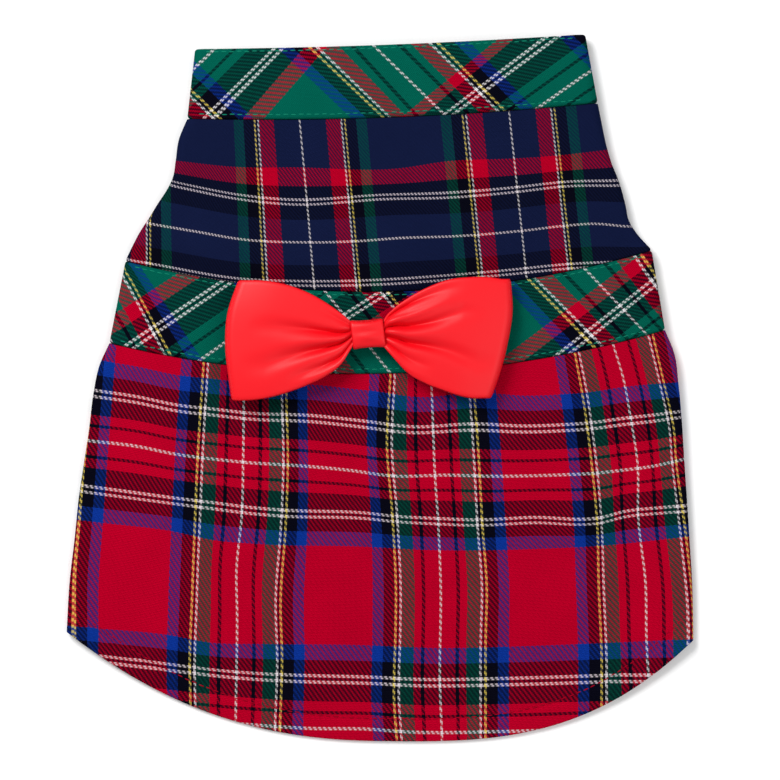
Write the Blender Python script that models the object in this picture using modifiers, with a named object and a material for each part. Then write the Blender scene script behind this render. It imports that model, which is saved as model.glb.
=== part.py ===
"""A dog's dress lying flat, back side up: neck band, yoke, waist band, skirt and a bow.

The frame is +X to the right of the dress, +Y towards the neck and +Z up. The origin is
on the surface that the dress lies on, under the middle of its outline. Units are metres.
"""

import math
from collections import namedtuple

import bmesh
import bpy
from mathutils import Vector

# Widths of the dress laid flat, from fold to fold
NECK_TOP_WIDTH = 0.1367
NECK_SEAM_WIDTH = 0.1439
WAIST_TOP_WIDTH = 0.1845
WAIST_SEAM_WIDTH = 0.1948
HEM_WIDTH = 0.2198

# Back length, the right neck fold's rise as a share of the neck's width, and the lengths
# along the side folds. The hem hangs below its corners by what is left.
BACK_LENGTH = 0.2478
TILT_AT_NECK = 0.019
NECK_BAND_HEIGHT = 0.0981 * BACK_LENGTH
YOKE_SIDE = 0.2046 * BACK_LENGTH
WAIST_BAND_HEIGHT = 0.1142 * BACK_LENGTH
SKIRT_SIDE = 0.4229 * BACK_LENGTH
NECK_LEVEL = BACK_LENGTH / 2 - TILT_AT_NECK * NECK_TOP_WIDTH
HEM_DROP = (
    BACK_LENGTH / 2 + NECK_LEVEL
    - NECK_BAND_HEIGHT - YOKE_SIDE - WAIST_BAND_HEIGHT - SKIRT_SIDE
)

# Cloth, the gap that neighbouring pieces keep, and what the yoke adds where it flares
FLANNEL = 0.0012
BAND_CLOTH = 0.0022
SATIN = 0.0011
SEAM_GAP = 0.0003
FLARE_GAP = 0.0003

# How high the back layer's middle plane lies over the floor, in the middle and at the folds
NECK_RISE = 0.0112
WAIST_RISE = 0.0120
NECK_FOLD = 0.0066
WAIST_FOLD = 0.0058
HEM_FOLD = 0.0033

# Underside: side seams, front leg holes and the skirt's two flaps
SIDE_SEAM_IN = 0.0140
LEG_HOLE_IN = 0.0055
LEG_HOLE_WIDTH = 0.0340
LEG_HOLE_LENGTH = 0.0370
LEG_HOLE_DOWN = 0.5
FLAP_REACH = 0.0560
FLAP_LEAST = 0.0120
FLAP_START_ANGLE = math.radians(42)

# Bow: from the middle of its knot to the end of a loop, half its height, its knot, and how
# far it sits below the middle line of the waist band
BOW_REACH = 0.0472
BOW_HALF_HEIGHT = 0.0210
BOW_LOFT = 0.0034
BOW_PINCH = 0.0013
BOW_DROOP = 0.0011
BOW_X = -0.0044
BOW_SINK = 0.0004
KNOT_LENGTH = 0.0115
KNOT_HALF_HEIGHT = 0.0050
PLEAT_RISE = 0.0006
PLEAT_COUNT = 1.6

# Cells of the lofted sheets
BACK_CELLS = 24
FOLD_CELLS = 5
FLAP_CELLS = 7
ROWS = {"neck_band": 4, "yoke": 8, "waist_band": 5, "skirt": 14}

# A seam across the dress. Level is its height on the page at the folds, and shift, tilt
# and dip are shares of its width: the middle's offset to the right, the right fold's
# rise over the middle, and how far the back layer's seam sags. Belly is the sag below.
Seam = namedtuple("Seam", "level width shift tilt dip belly rise fold")

TILT_AT_HEM = -0.0064

NECK_TOP = Seam(
    NECK_LEVEL, NECK_TOP_WIDTH, 0.026, TILT_AT_NECK, 0.010, 0.030, NECK_RISE, NECK_FOLD
)
NECK_SEAM = Seam(
    NECK_TOP.level - NECK_BAND_HEIGHT,
    NECK_SEAM_WIDTH, 0.0305, 0.019, 0.0174, 0.028, NECK_RISE, NECK_FOLD,
)
WAIST_TOP = Seam(
    NECK_SEAM.level - YOKE_SIDE,
    WAIST_TOP_WIDTH, 0.0163, 0.010, 0.0688, 0.0, WAIST_RISE, WAIST_FOLD,
)
WAIST_SEAM = Seam(
    WAIST_TOP.level - WAIST_BAND_HEIGHT,
    WAIST_SEAM_WIDTH, 0.013, 0.0118, 0.0665, 0.0, WAIST_RISE, WAIST_FOLD,
)
HEM = Seam(
    WAIST_SEAM.level - SKIRT_SIDE, HEM_WIDTH, 0.0, TILT_AT_HEM, 0.0, 0.0, 0.0, HEM_FOLD
)

# How round the hem is on each side of the middle: a higher power is fuller
HEM_POWER_LEFT = 2.3
HEM_POWER_RIGHT = 3.0

# How flat the back layer lies before it turns down to its folds, or up to them
RAISED_SHOULDER = 2.2
SUNK_SHOULDER = 4.0

# Outline of the yoke's sides: shares of the way down, and of the way out from the neck
# seam's width to the waist's
YOKE_OUTLINE = [
    {"down": 0.00, "left": 0.00, "right": 0.00},
    {"down": 0.15, "left": 0.14, "right": 0.08},
    {"down": 0.30, "left": 0.19, "right": 0.17},
    {"down": 0.42, "left": 0.24, "right": 0.27},
    {"down": 0.50, "left": 0.33, "right": 0.36},
    {"down": 0.60, "left": 0.48, "right": 0.45},
    {"down": 0.70, "left": 0.62, "right": 0.52},
    {"down": 0.80, "left": 0.77, "right": 0.58},
    {"down": 0.90, "left": 0.89, "right": 0.75},
    {"down": 1.00, "left": 1.00, "right": 1.00},
]

# The same for the skirt's sides, from the waist seam's width to the hem's
SKIRT_OUTLINE = [
    {"down": 0.00, "left": 0.00, "right": 0.00},
    {"down": 0.08, "left": 0.24, "right": 0.34},
    {"down": 0.17, "left": 0.37, "right": 0.47},
    {"down": 0.30, "left": 0.48, "right": 0.60},
    {"down": 0.42, "left": 0.60, "right": 0.68},
    {"down": 0.54, "left": 0.72, "right": 0.77},
    {"down": 0.67, "left": 0.81, "right": 0.86},
    {"down": 0.84, "left": 0.94, "right": 0.97},
    {"down": 1.00, "left": 1.00, "right": 1.00},
]

# A band's sides run straight
STRAIGHT_OUTLINE = [
    {"down": 0.0, "left": 0.0, "right": 0.0},
    {"down": 1.0, "left": 1.0, "right": 1.0},
]

# How the skirt's back layer sinks to the floor: shares of the waist's rise in the middle
# and of the way from the waist's fold height to the hem's
SKIRT_LIE = [
    {"down": 0.00, "middle": 1.00, "fold": 0.00},
    {"down": 0.20, "middle": 0.90, "fold": 0.15},
    {"down": 0.40, "middle": 0.72, "fold": 0.35},
    {"down": 0.60, "middle": 0.49, "fold": 0.55},
    {"down": 0.80, "middle": 0.24, "fold": 0.78},
    {"down": 1.00, "middle": 0.00, "fold": 1.00},
]

# Soft dents and ridges of the back layer: place as shares of half the hem's width and
# half the whole length, heading from +X, reach along and across as shares of the hem's
# width, and rise as a share of the waist's
DENTS = [
    {"x": -0.52, "y": 0.56, "heading": -12, "along": 0.17, "across": 0.022, "rise": -0.090},
    {"x": -0.62, "y": 0.42, "heading": -14, "along": 0.15, "across": 0.030, "rise": 0.060},
    {"x": 0.55, "y": 0.50, "heading": 62, "along": 0.10, "across": 0.026, "rise": -0.060},
    {"x": 0.20, "y": 0.63, "heading": 8, "along": 0.20, "across": 0.028, "rise": 0.040},
    {"x": -0.29, "y": -0.20, "heading": 84, "along": 0.22, "across": 0.030, "rise": 0.090},
    {"x": -0.46, "y": -0.16, "heading": 96, "along": 0.20, "across": 0.028, "rise": -0.070},
    {"x": 0.24, "y": -0.26, "heading": 92, "along": 0.24, "across": 0.034, "rise": -0.060},
    {"x": 0.62, "y": -0.22, "heading": 99, "along": 0.22, "across": 0.032, "rise": 0.080},
    {"x": 0.78, "y": -0.27, "heading": 20, "along": 0.05, "across": 0.018, "rise": -0.060},
]

# Outline of the bow's loops: shares of the way out, and of half the bow's height
BOW_OUTLINE = [
    {"out": 0.00, "left_up": 0.15, "left_down": 0.15, "right_up": 0.15, "right_down": 0.15},
    {"out": 0.14, "left_up": 0.16, "left_down": 0.16, "right_up": 0.16, "right_down": 0.16},
    {"out": 0.19, "left_up": 0.31, "left_down": 0.44, "right_up": 0.40, "right_down": 0.38},
    {"out": 0.30, "left_up": 0.49, "left_down": 0.68, "right_up": 0.60, "right_down": 0.64},
    {"out": 0.45, "left_up": 0.67, "left_down": 0.84, "right_up": 0.78, "right_down": 0.82},
    {"out": 0.60, "left_up": 0.79, "left_down": 0.96, "right_up": 0.90, "right_down": 0.93},
    {"out": 0.75, "left_up": 0.86, "left_down": 1.05, "right_up": 0.94, "right_down": 1.02},
    {"out": 0.90, "left_up": 0.89, "left_down": 1.10, "right_up": 0.94, "right_down": 1.07},
    {"out": 1.00, "left_up": 0.89, "left_down": 1.11, "right_up": 0.91, "right_down": 1.07},
]

# Reach of each loop along its bottom edge, its middle and its top edge, as shares of the
# bow's reach
BOW_ENDS = [
    {"up": -1.0, "left": 0.935, "right": 0.870},
    {"up": -0.3, "left": 0.984, "right": 0.960},
    {"up": 0.2, "left": 0.979, "right": 1.000},
    {"up": 1.0, "left": 0.895, "right": 0.990},
]

# Half the loops' thickness along the way out, as a share of the way from pinch to loft
BOW_LIE = [
    {"out": 0.00, "thick": 0.00},
    {"out": 0.14, "thick": 0.00},
    {"out": 0.30, "thick": 0.45},
    {"out": 0.55, "thick": 0.95},
    {"out": 0.75, "thick": 1.00},
    {"out": 0.92, "thick": 0.80},
    {"out": 1.00, "thick": 0.66},
]

FINISHES = {
    "neck_band": ((0.00, 0.13, 0.08), 0.85),
    "yoke": ((0.010, 0.014, 0.045), 0.85),
    "chest_panel": ((0.010, 0.014, 0.045), 0.85),
    "waist_band": ((0.00, 0.13, 0.08), 0.85),
    "skirt": ((0.50, 0.001, 0.018), 0.85),
    "bow_loops": ((0.90, 0.020, 0.025), 0.40),
    "bow_knot": ((0.90, 0.020, 0.025), 0.40),
}


def clear_scene():
    """Removes every object that the scene starts with."""
    for old in list(bpy.data.objects):
        bpy.data.objects.remove(old, do_unlink=True)


def new_collection(name):
    """A collection of that name in the scene."""
    collection = bpy.data.collections.new(name)
    bpy.context.scene.collection.children.link(collection)
    return collection


def read_row(rows, key, at, column):
    """The column's value at that share, on a smooth curve through the rows."""
    last = len(rows) - 1
    at = min(max(at, rows[0][key]), rows[last][key])
    first = 0
    while first < last - 1 and at > rows[first + 1][key]:
        first += 1
    before, here = rows[max(first - 1, 0)], rows[first]
    there, after = rows[first + 1], rows[min(first + 2, last)]
    span = there[key] - here[key]
    t = (at - here[key]) / span
    slope_here = (there[column] - before[column]) / (there[key] - before[key]) * span
    slope_there = (after[column] - here[column]) / (after[key] - here[key]) * span
    return (
        (2 * t**3 - 3 * t**2 + 1) * here[column]
        + (t**3 - 2 * t**2 + t) * slope_here
        + (3 * t**2 - 2 * t**3) * there[column]
        + (t**3 - t**2) * slope_there
    )


def mix(a, b, share):
    """The value that share of the way from a to b."""
    return a + (b - a) * share


def middle_of(seam):
    """X of the seam's middle."""
    return seam.shift * seam.width


def seam_height(seam, x, sag):
    """Y of the seam at that X, where sag is its dip or its belly."""
    across = min(max((x - middle_of(seam)) / (seam.width / 2), -1.0), 1.0)
    return seam.level + seam.width * (seam.tilt * across - sag * (1 - across * across))


def hem_height(x):
    """Y of the skirt's hem on the back layer."""
    across = min(max(x / (HEM.width / 2), -1.0), 1.0)
    power = HEM_POWER_LEFT if across < 0 else HEM_POWER_RIGHT
    return (
        HEM.level + HEM.width * HEM.tilt * across - HEM_DROP * (1 - abs(across) ** power)
    )


def flap_hem_height(x, highest):
    """Y of the hem underneath: it goes on rising from its corner and levels out."""
    sign = 1 if x > 0 else -1
    inward = min(1.0, (HEM.width / 2 - abs(x)) / FLAP_REACH)
    first = math.sin(FLAP_START_ANGLE)
    turned = math.asin(mix(first, 1.0, inward))
    rise = 1 - math.cos(turned) / math.cos(FLAP_START_ANGLE)
    return mix(hem_height(sign * HEM.width / 2), highest, rise)


def dent_at(x, y):
    """Height that the dents and ridges add to the back layer at that place."""
    total = 0.0
    for dent in DENTS:
        turn = math.radians(dent["heading"])
        dx = x - dent["x"] * HEM_WIDTH / 2
        dy = y - dent["y"] * BACK_LENGTH / 2
        along = (dx * math.cos(turn) + dy * math.sin(turn)) / (dent["along"] * HEM_WIDTH)
        across = (dy * math.cos(turn) - dx * math.sin(turn)) / (dent["across"] * HEM_WIDTH)
        total += dent["rise"] * WAIST_RISE * math.exp(-along * along - across * across)
    return total


class Panel:
    """The space between two seams: where a sheet's points lie on each of its layers."""

    def __init__(self, top, bottom, outline, cloth, lie=None, flare_gap=0.0):
        self.top = top
        self.bottom = bottom
        self.outline = outline
        self.cloth = cloth
        self.lie = lie
        self.flare_gap = flare_gap

    def sides(self, down):
        """X of the left and the right outline."""
        ends = []
        for side, sign in (("left", -1), ("right", 1)):
            start = middle_of(self.top) + sign * self.top.width / 2
            end = middle_of(self.bottom) + sign * self.bottom.width / 2
            ends.append(mix(start, end, read_row(self.outline, "down", down, side)))
        return ends

    def heights(self, down):
        """Heights of the back layer's middle plane, in the middle and at the folds."""
        if self.lie:
            low = FLANNEL / 2
            middle = mix(low, self.top.rise, read_row(self.lie, "down", down, "middle"))
            sunk = read_row(self.lie, "down", down, "fold")
            return middle, mix(self.top.fold, self.bottom.fold, sunk)
        return (
            mix(self.top.rise, self.bottom.rise, down),
            mix(self.top.fold, self.bottom.fold, down),
        )

    def fold(self, down):
        """Radius of the side folds, and X of the left and the right fold's centre."""
        radius = (self.heights(down)[1] - self.cloth / 2) / 2
        left, right = self.sides(down)
        inset = self.cloth / 2 + radius
        return radius, left + inset, right - inset

    def back_y(self, x_of, down):
        """Y on the back layer of a column whose X at each share down is x_of's."""
        start = seam_height(self.top, x_of(0.0), self.top.dip) - SEAM_GAP / 2
        if self.lie:
            end = hem_height(x_of(1.0))
        else:
            end = seam_height(self.bottom, x_of(1.0), self.bottom.dip) + SEAM_GAP / 2
        return mix(start, end, down)

    def belly_y(self, x_of, down):
        """Y on the under layer."""
        start = seam_height(self.top, x_of(0.0), self.top.belly) - SEAM_GAP / 2
        if self.lie:
            end = flap_hem_height(x_of(1.0), start - FLAP_LEAST)
        else:
            end = seam_height(self.bottom, x_of(1.0), self.bottom.belly) + SEAM_GAP / 2
        return mix(start, end, down)

    def back(self, across, down):
        """A point of the back layer, across from -1 at the left fold to 1 at the right."""

        def x_of(share):
            _, left, right = self.fold(share)
            return mix(left, right, (across + 1) / 2)

        middle, fold = self.heights(down)
        x = x_of(down)
        y = self.back_y(x_of, down)
        shoulder = SUNK_SHOULDER if middle < fold else RAISED_SHOULDER
        z = mix(middle, fold, abs(across) ** shoulder)
        edge = 1 - abs(across) ** 6
        return Vector((x, y, z + edge * min(1.0, middle / fold) * dent_at(x, y)))

    def side(self, sign, turn, down):
        """A point of a side fold. Turn runs from 0 on the back layer to 1 underneath."""
        angle = math.pi * (0.5 - turn)

        def x_of(share):
            radius, left, right = self.fold(share)
            return (right if sign > 0 else left) + sign * radius * math.cos(angle)

        radius = self.fold(down)[0]
        place = self.back_y if turn < 0.5 else self.belly_y
        y = place(x_of, down) + self.flare_gap * math.cos(angle) * down
        z = self.cloth / 2 + radius + radius * math.sin(angle)
        return Vector((x_of(down), y, z))

    def belly(self, sign, inward, down):
        """A point of the under layer, on the floor, that far in from a fold's centre."""

        def x_of(share):
            _, left, right = self.fold(share)
            return (right if sign > 0 else left) - sign * inward

        y = self.belly_y(x_of, down)
        edge = middle_of(self.bottom) + sign * self.bottom.width / 2
        side = self.belly_y(x_of, 0.0) - seam_height(self.bottom, edge, 0.0)
        return Vector((x_of((self.belly_y(x_of, 0.0) - y) / side), y, self.cloth / 2))

    def belly_across(self, across, down):
        """A point of the under layer, across from -1 at the left fold to 1."""

        def x_of(share):
            _, left, right = self.fold(share)
            return mix(left, right, (across + 1) / 2)

        return Vector((x_of(down), self.belly_y(x_of, down), self.cloth / 2))


def shares(cells):
    """Evenly spaced shares from 0 to 1."""
    return [i / cells for i in range(cells + 1)]


def ring_columns(panel):
    """Functions of the way down for each column round a closed tube."""
    columns = []
    for share in shares(BACK_CELLS):
        columns.append(lambda down, a=2 * share - 1: panel.back(a, down))
    for share in shares(FOLD_CELLS)[1:]:
        columns.append(lambda down, t=share: panel.side(1, t, down))
    for share in shares(BACK_CELLS)[1:]:
        columns.append(lambda down, a=1 - 2 * share: panel.belly_across(a, down))
    for share in shares(FOLD_CELLS)[1:-1]:
        columns.append(lambda down, t=1 - share: panel.side(-1, t, down))
    return columns


def wrap_columns(panel, reach, cells):
    """Columns of a sheet that wraps round both folds and ends underneath."""
    columns = []
    for share in reversed(shares(cells)):
        columns.append(lambda down, i=share * reach: panel.belly(-1, i, down))
    for share in shares(FOLD_CELLS)[1:-1]:
        columns.append(lambda down, t=1 - share: panel.side(-1, t, down))
    for share in shares(BACK_CELLS):
        columns.append(lambda down, a=2 * share - 1: panel.back(a, down))
    for share in shares(FOLD_CELLS)[1:-1]:
        columns.append(lambda down, t=share: panel.side(1, t, down))
    for share in shares(cells):
        columns.append(lambda down, i=share * reach: panel.belly(1, i, down))
    return columns


def loft(name, columns, rows, closed, cloth, collection):
    """A sheet of cloth lofted through its columns, thickened about its middle plane."""
    mesh = bpy.data.meshes.new(name)
    made = bmesh.new()
    grid = [[made.verts.new(column(down)) for down in shares(rows)] for column in columns]
    count = len(grid)
    for i in range(count if closed else count - 1):
        near, far = grid[i], grid[(i + 1) % count]
        for j in range(rows):
            made.faces.new((near[j], near[j + 1], far[j + 1], far[j]))
    bmesh.ops.recalc_face_normals(made, faces=made.faces)
    made.to_mesh(mesh)
    made.free()
    mesh.shade_smooth()
    piece = bpy.data.objects.new(name, mesh)
    collection.objects.link(piece)
    thicken = piece.modifiers.new("cloth", "SOLIDIFY")
    thicken.thickness = cloth
    thicken.offset = 0.0
    thicken.use_even_offset = True
    thicken.use_rim = True
    return piece


def finish(piece):
    """Gives the piece its colour and roughness."""
    colour, roughness = FINISHES[piece.name]
    material = bpy.data.materials.new(piece.name)
    material.use_nodes = True
    shader = material.node_tree.nodes["Principled BSDF"]
    shader.inputs["Base Color"].default_value = (*colour, 1.0)
    shader.inputs["Roughness"].default_value = roughness
    shader.inputs["Metallic"].default_value = 0.0
    piece.data.materials.append(material)


def leg_hole_centre(panel, sign):
    """Centre of a leg hole on the floor: half-way down the yoke, in from its fold."""
    radius = panel.fold(LEG_HOLE_DOWN)[0]
    place = panel.belly(sign, LEG_HOLE_IN + LEG_HOLE_WIDTH / 2 - radius, LEG_HOLE_DOWN)
    return Vector((place.x, place.y, 0.0))


def leg_hole_cutter(panel, sign, collection):
    """An oval post through the under layer only."""
    depth = 2 * (FLANNEL + BAND_CLOTH)
    bpy.ops.mesh.primitive_cylinder_add(
        vertices=28, radius=0.5, depth=1.0, location=leg_hole_centre(panel, sign)
    )
    cutter = bpy.context.object
    cutter.name = "leg_hole_cutter_right" if sign > 0 else "leg_hole_cutter_left"
    cutter.scale = (LEG_HOLE_WIDTH, LEG_HOLE_LENGTH, depth)
    bpy.ops.object.transform_apply(location=False, rotation=False, scale=True)
    for old in list(cutter.users_collection):
        old.objects.unlink(cutter)
    collection.objects.link(cutter)
    cutter.hide_render = True
    cutter.display_type = "WIRE"
    return cutter


def cut(piece, cutters):
    """Cuts the piece by each cutter."""
    for cutter in cutters:
        boolean = piece.modifiers.new(cutter.name, "BOOLEAN")
        boolean.operation = "DIFFERENCE"
        boolean.solver = "EXACT"
        boolean.object = cutter


def make_yoke(panel, collection):
    """The navy back panel, which wraps round both folds to the side seams underneath."""
    columns = wrap_columns(panel, SIDE_SEAM_IN - SEAM_GAP / 2, 3)
    return loft("yoke", columns, ROWS["yoke"], False, FLANNEL, collection)


def make_chest_panel(panel, collection):
    """The panel between the side seams, flat on the floor."""
    columns = []
    for share in shares(16):

        def place(down, share=share):
            left = panel.belly(-1, SIDE_SEAM_IN + SEAM_GAP / 2, down)
            right = panel.belly(1, SIDE_SEAM_IN + SEAM_GAP / 2, down)

            def x_of(at):
                first = panel.belly(-1, SIDE_SEAM_IN + SEAM_GAP / 2, at).x
                last = panel.belly(1, SIDE_SEAM_IN + SEAM_GAP / 2, at).x
                return mix(first, last, share)

            return Vector((mix(left.x, right.x, share), panel.belly_y(x_of, down), left.z))

        columns.append(place)
    return loft("chest_panel", columns, ROWS["yoke"], False, FLANNEL, collection)


def bow_point(sign, front, out, up):
    """A point of the bow's loops about the knot. Up is -1 at the lower edge, 1 at the upper."""
    side = "right" if sign > 0 else "left"
    rise = read_row(BOW_OUTLINE, "out", out, side + "_up")
    drop = read_row(BOW_OUTLINE, "out", out, side + "_down")
    y = BOW_HALF_HEIGHT * mix(-drop, rise, (up + 1) / 2)
    x = sign * BOW_REACH * out * mix(1.0, read_row(BOW_ENDS, "up", up, side), out)
    thick = mix(BOW_PINCH, BOW_LOFT, read_row(BOW_LIE, "out", out, "thick"))
    pleat = PLEAT_RISE * math.exp(-out / 0.32) * math.sin(min(out / 0.2, 1) * math.pi / 2)
    wave = pleat * math.cos(PLEAT_COUNT * math.pi * up + 0.4 * sign)
    rounded = 1 - 0.22 * abs(up) ** 3 * min(1, out / 0.3)
    droop = BOW_DROOP * out * out
    return Vector((x, y, front * thick * rounded + wave - droop))


def make_bow_loops(base, collection):
    """Both loops as one flattened band of satin, pinched in the middle."""
    around = 9
    fold = mix(BOW_PINCH, BOW_LOFT, BOW_LIE[-1]["thick"])
    columns = []

    def place(sign, front, out):
        return lambda way: base + bow_point(sign, front, out, 2 * way - 1)

    def end(sign, turn):
        def point(way):
            up = 2 * way - 1
            top = bow_point(sign, 1, 1.0, up)
            low = bow_point(sign, -1, 1.0, up)
            angle = math.pi * (0.5 - turn)
            centre = (top + low) / 2
            half = (top.z - low.z) / 2
            swing = Vector((sign * fold * math.cos(angle), 0, half * math.sin(angle)))
            return base + centre + swing

        return point

    outs = [0.0, 0.07, 0.14, 0.21, 0.30, 0.40, 0.50, 0.60, 0.70, 0.80, 0.90, 1.0]
    columns += [place(-1, 1, out) for out in reversed(outs[1:])]
    columns += [place(1, 1, out) for out in outs]
    columns += [end(1, turn) for turn in (0.25, 0.5, 0.75)]
    columns += [place(1, -1, out) for out in reversed(outs[1:])]
    columns += [place(-1, -1, out) for out in outs]
    columns += [end(-1, turn) for turn in (0.75, 0.5, 0.25)]
    return loft("bow_loops", columns, around, True, SATIN, collection)


def make_bow_knot(base, collection):
    """The short band of satin round the bow's middle."""
    half_y = KNOT_HALF_HEIGHT - SATIN / 2
    half_z = knot_half_depth()
    sides = 16

    def column(index):
        angle = 2 * math.pi * index / sides
        c, s = math.cos(angle), math.sin(angle)
        square = (c**4 + s**4) ** -0.25

        def place(way):
            waist = 1 + 0.05 * (2 * way - 1) ** 2
            x = (way - 0.5) * KNOT_LENGTH
            return base + Vector((x, half_y * waist * c * square, half_z * s * square))

        return place

    columns = [column(index) for index in range(sides)]
    return loft("bow_knot", columns, 4, True, SATIN, collection)


def knot_half_depth():
    """Half the depth of the knot's middle plane: the pinched loops, a gap and half a wall."""
    return BOW_PINCH + SATIN / 2 + PLEAT_RISE + SEAM_GAP + SATIN / 2


def bow_base():
    """Where the middle of the knot lies: its back on the waist band, a seam gap above it."""
    band = Panel(WAIST_TOP, WAIST_SEAM, STRAIGHT_OUTLINE, BAND_CLOTH)
    left, right = band.sides(0.5)
    place = band.back(2 * (BOW_X - left) / (right - left) - 1, 0.5)
    lift = BAND_CLOTH / 2 + 2 * SEAM_GAP + SATIN / 2 + knot_half_depth()
    return Vector((place.x, place.y - BOW_SINK, place.z + lift))


def main():
    """Builds the dress."""
    clear_scene()
    dress = new_collection("dog_dress")
    cutters = new_collection("cutters")
    neck = Panel(NECK_TOP, NECK_SEAM, STRAIGHT_OUTLINE, BAND_CLOTH)
    yoke = Panel(NECK_SEAM, WAIST_TOP, YOKE_OUTLINE, FLANNEL, flare_gap=FLARE_GAP)
    waist = Panel(WAIST_TOP, WAIST_SEAM, STRAIGHT_OUTLINE, BAND_CLOTH)
    skirt = Panel(WAIST_SEAM, HEM, SKIRT_OUTLINE, FLANNEL, SKIRT_LIE)

    pieces = [
        loft("neck_band", ring_columns(neck), ROWS["neck_band"], True, BAND_CLOTH, dress),
        loft("waist_band", ring_columns(waist), ROWS["waist_band"], True, BAND_CLOTH, dress),
    ]
    holes = [leg_hole_cutter(yoke, sign, cutters) for sign in (-1, 1)]
    for piece in (make_yoke(yoke, dress), make_chest_panel(yoke, dress)):
        cut(piece, holes)
        pieces.append(piece)
    columns = wrap_columns(skirt, FLAP_REACH, FLAP_CELLS)
    pieces.append(loft("skirt", columns, ROWS["skirt"], False, FLANNEL, dress))
    base = bow_base()
    pieces.append(make_bow_loops(base, dress))
    pieces.append(make_bow_knot(base, dress))
    for piece in pieces:
        finish(piece)


main()
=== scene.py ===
"""A dog's tartan dress, lying flat with its back up, as photographed from overhead.

Every cloth piece is lofted through the same seams and outlines as the CAD part, finer and
with its soft folds. The tartans are woven in the shaders from the positions of a few threads.
World frame: metres, +X right, +Y towards the neck, +Z up. Tables marked so are in millimetres.
"""

import logging
import math
from dataclasses import dataclass, field
from enum import Enum
from typing import Sequence, Union

import bpy
import numpy as np
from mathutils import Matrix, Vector

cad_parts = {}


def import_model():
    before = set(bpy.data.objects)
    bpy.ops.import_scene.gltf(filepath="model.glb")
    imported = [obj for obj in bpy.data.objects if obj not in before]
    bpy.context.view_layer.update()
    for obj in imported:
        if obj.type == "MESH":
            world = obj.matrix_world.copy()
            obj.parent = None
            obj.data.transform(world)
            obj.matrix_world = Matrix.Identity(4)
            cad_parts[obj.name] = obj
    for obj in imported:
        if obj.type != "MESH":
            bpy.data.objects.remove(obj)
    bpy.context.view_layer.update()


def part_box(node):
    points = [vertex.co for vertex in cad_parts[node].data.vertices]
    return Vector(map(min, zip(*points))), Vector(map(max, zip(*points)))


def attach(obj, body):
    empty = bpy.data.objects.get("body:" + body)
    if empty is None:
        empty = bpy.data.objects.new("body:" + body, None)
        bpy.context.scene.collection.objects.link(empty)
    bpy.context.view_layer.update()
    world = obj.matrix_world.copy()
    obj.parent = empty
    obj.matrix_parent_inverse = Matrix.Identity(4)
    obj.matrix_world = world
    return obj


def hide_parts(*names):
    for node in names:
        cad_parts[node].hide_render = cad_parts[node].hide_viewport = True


LOG = logging.getLogger("dog_dress")

MM = 0.001

# What a mix takes, what a shader node's input takes, and what tracing a sheet gives
Amount = Union[float, np.ndarray]
Feed = Union[bpy.types.NodeSocket, float, tuple[float, ...]]
Traced = tuple[np.ndarray, np.ndarray]

# Widths of the dress laid flat, from fold to fold
NECK_TOP_WIDTH = 0.1367
NECK_SEAM_WIDTH = 0.1439
WAIST_TOP_WIDTH = 0.1845
WAIST_SEAM_WIDTH = 0.1948
HEM_WIDTH = 0.2198

# Lengths along the side folds, and how far the hem hangs below its corners
NECK_BAND_HEIGHT = 0.0243
YOKE_SIDE = 0.0507
WAIST_BAND_HEIGHT = 0.0283
SKIRT_SIDE = 0.1048
HEM_DROP = 0.0371

# How far the neck and hem lean, as a rise over a run to the right
TILT_AT_NECK = 0.019
TILT_AT_HEM = -0.0064

# From the highest point of the neck to the lowest of the hem
WHOLE_LENGTH = (
    NECK_BAND_HEIGHT + YOKE_SIDE + WAIST_BAND_HEIGHT + SKIRT_SIDE + HEM_DROP
    + TILT_AT_NECK * NECK_TOP_WIDTH
)

# Cloth and the gap between neighbouring pieces
FLANNEL = 0.0012
BAND_CLOTH = 0.0022
SATIN = 0.0009
SEAM_GAP = 0.00012

# Height of the back layer over the floor, in the middle and at the folds
NECK_RISE = 0.0112
WAIST_RISE = 0.0120
NECK_FOLD = 0.0066
WAIST_FOLD = 0.0058
HEM_FOLD = 0.0033

# Underside
SIDE_SEAM_IN = 0.0140
LEG_HOLE_IN = 0.0055
LEG_HOLE_WIDTH = 0.0340
LEG_HOLE_LENGTH = 0.0370
FLAP_REACH = 0.0560
FLAP_LEAST = 0.0120
FLAP_START_ANGLE = math.radians(42)

# How square the hem's curve is on its two sides
HEM_POWER_LEFT = 2.3
HEM_POWER_RIGHT = 3.0

# How flat the back layer lies before it turns down to its folds, or up to them
RAISED_SHOULDER = 2.2
SUNK_SHOULDER = 4.0

# Cells round a side fold, and half the gap left at a side seam
FOLD_CELLS = 11
SEAM_SPLIT = 0.00015

# Sewing
STITCH_PITCH = 0.0027
STITCH_LENGTH = 0.0021
STITCH_WIDTH = 0.00038
HEM_TURN = 0.0080
TOPSTITCH_IN = 0.0011
LOWSTITCH_IN = 0.0016

# Bow
BOW_REACH = 0.0472
BOW_HALF_HEIGHT = 0.0210
BOW_LOFT = 0.0034
BOW_PINCH = 0.0013
BOW_DROOP = 0.0011
KNOT_LENGTH = 0.0115
KNOT_HALF_HEIGHT = 0.0050
KNOT_HALF_DEPTH = 0.0033

# Light that falls on the dress, as a share of what makes white read as white
EXPOSURE = 1.12


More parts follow.
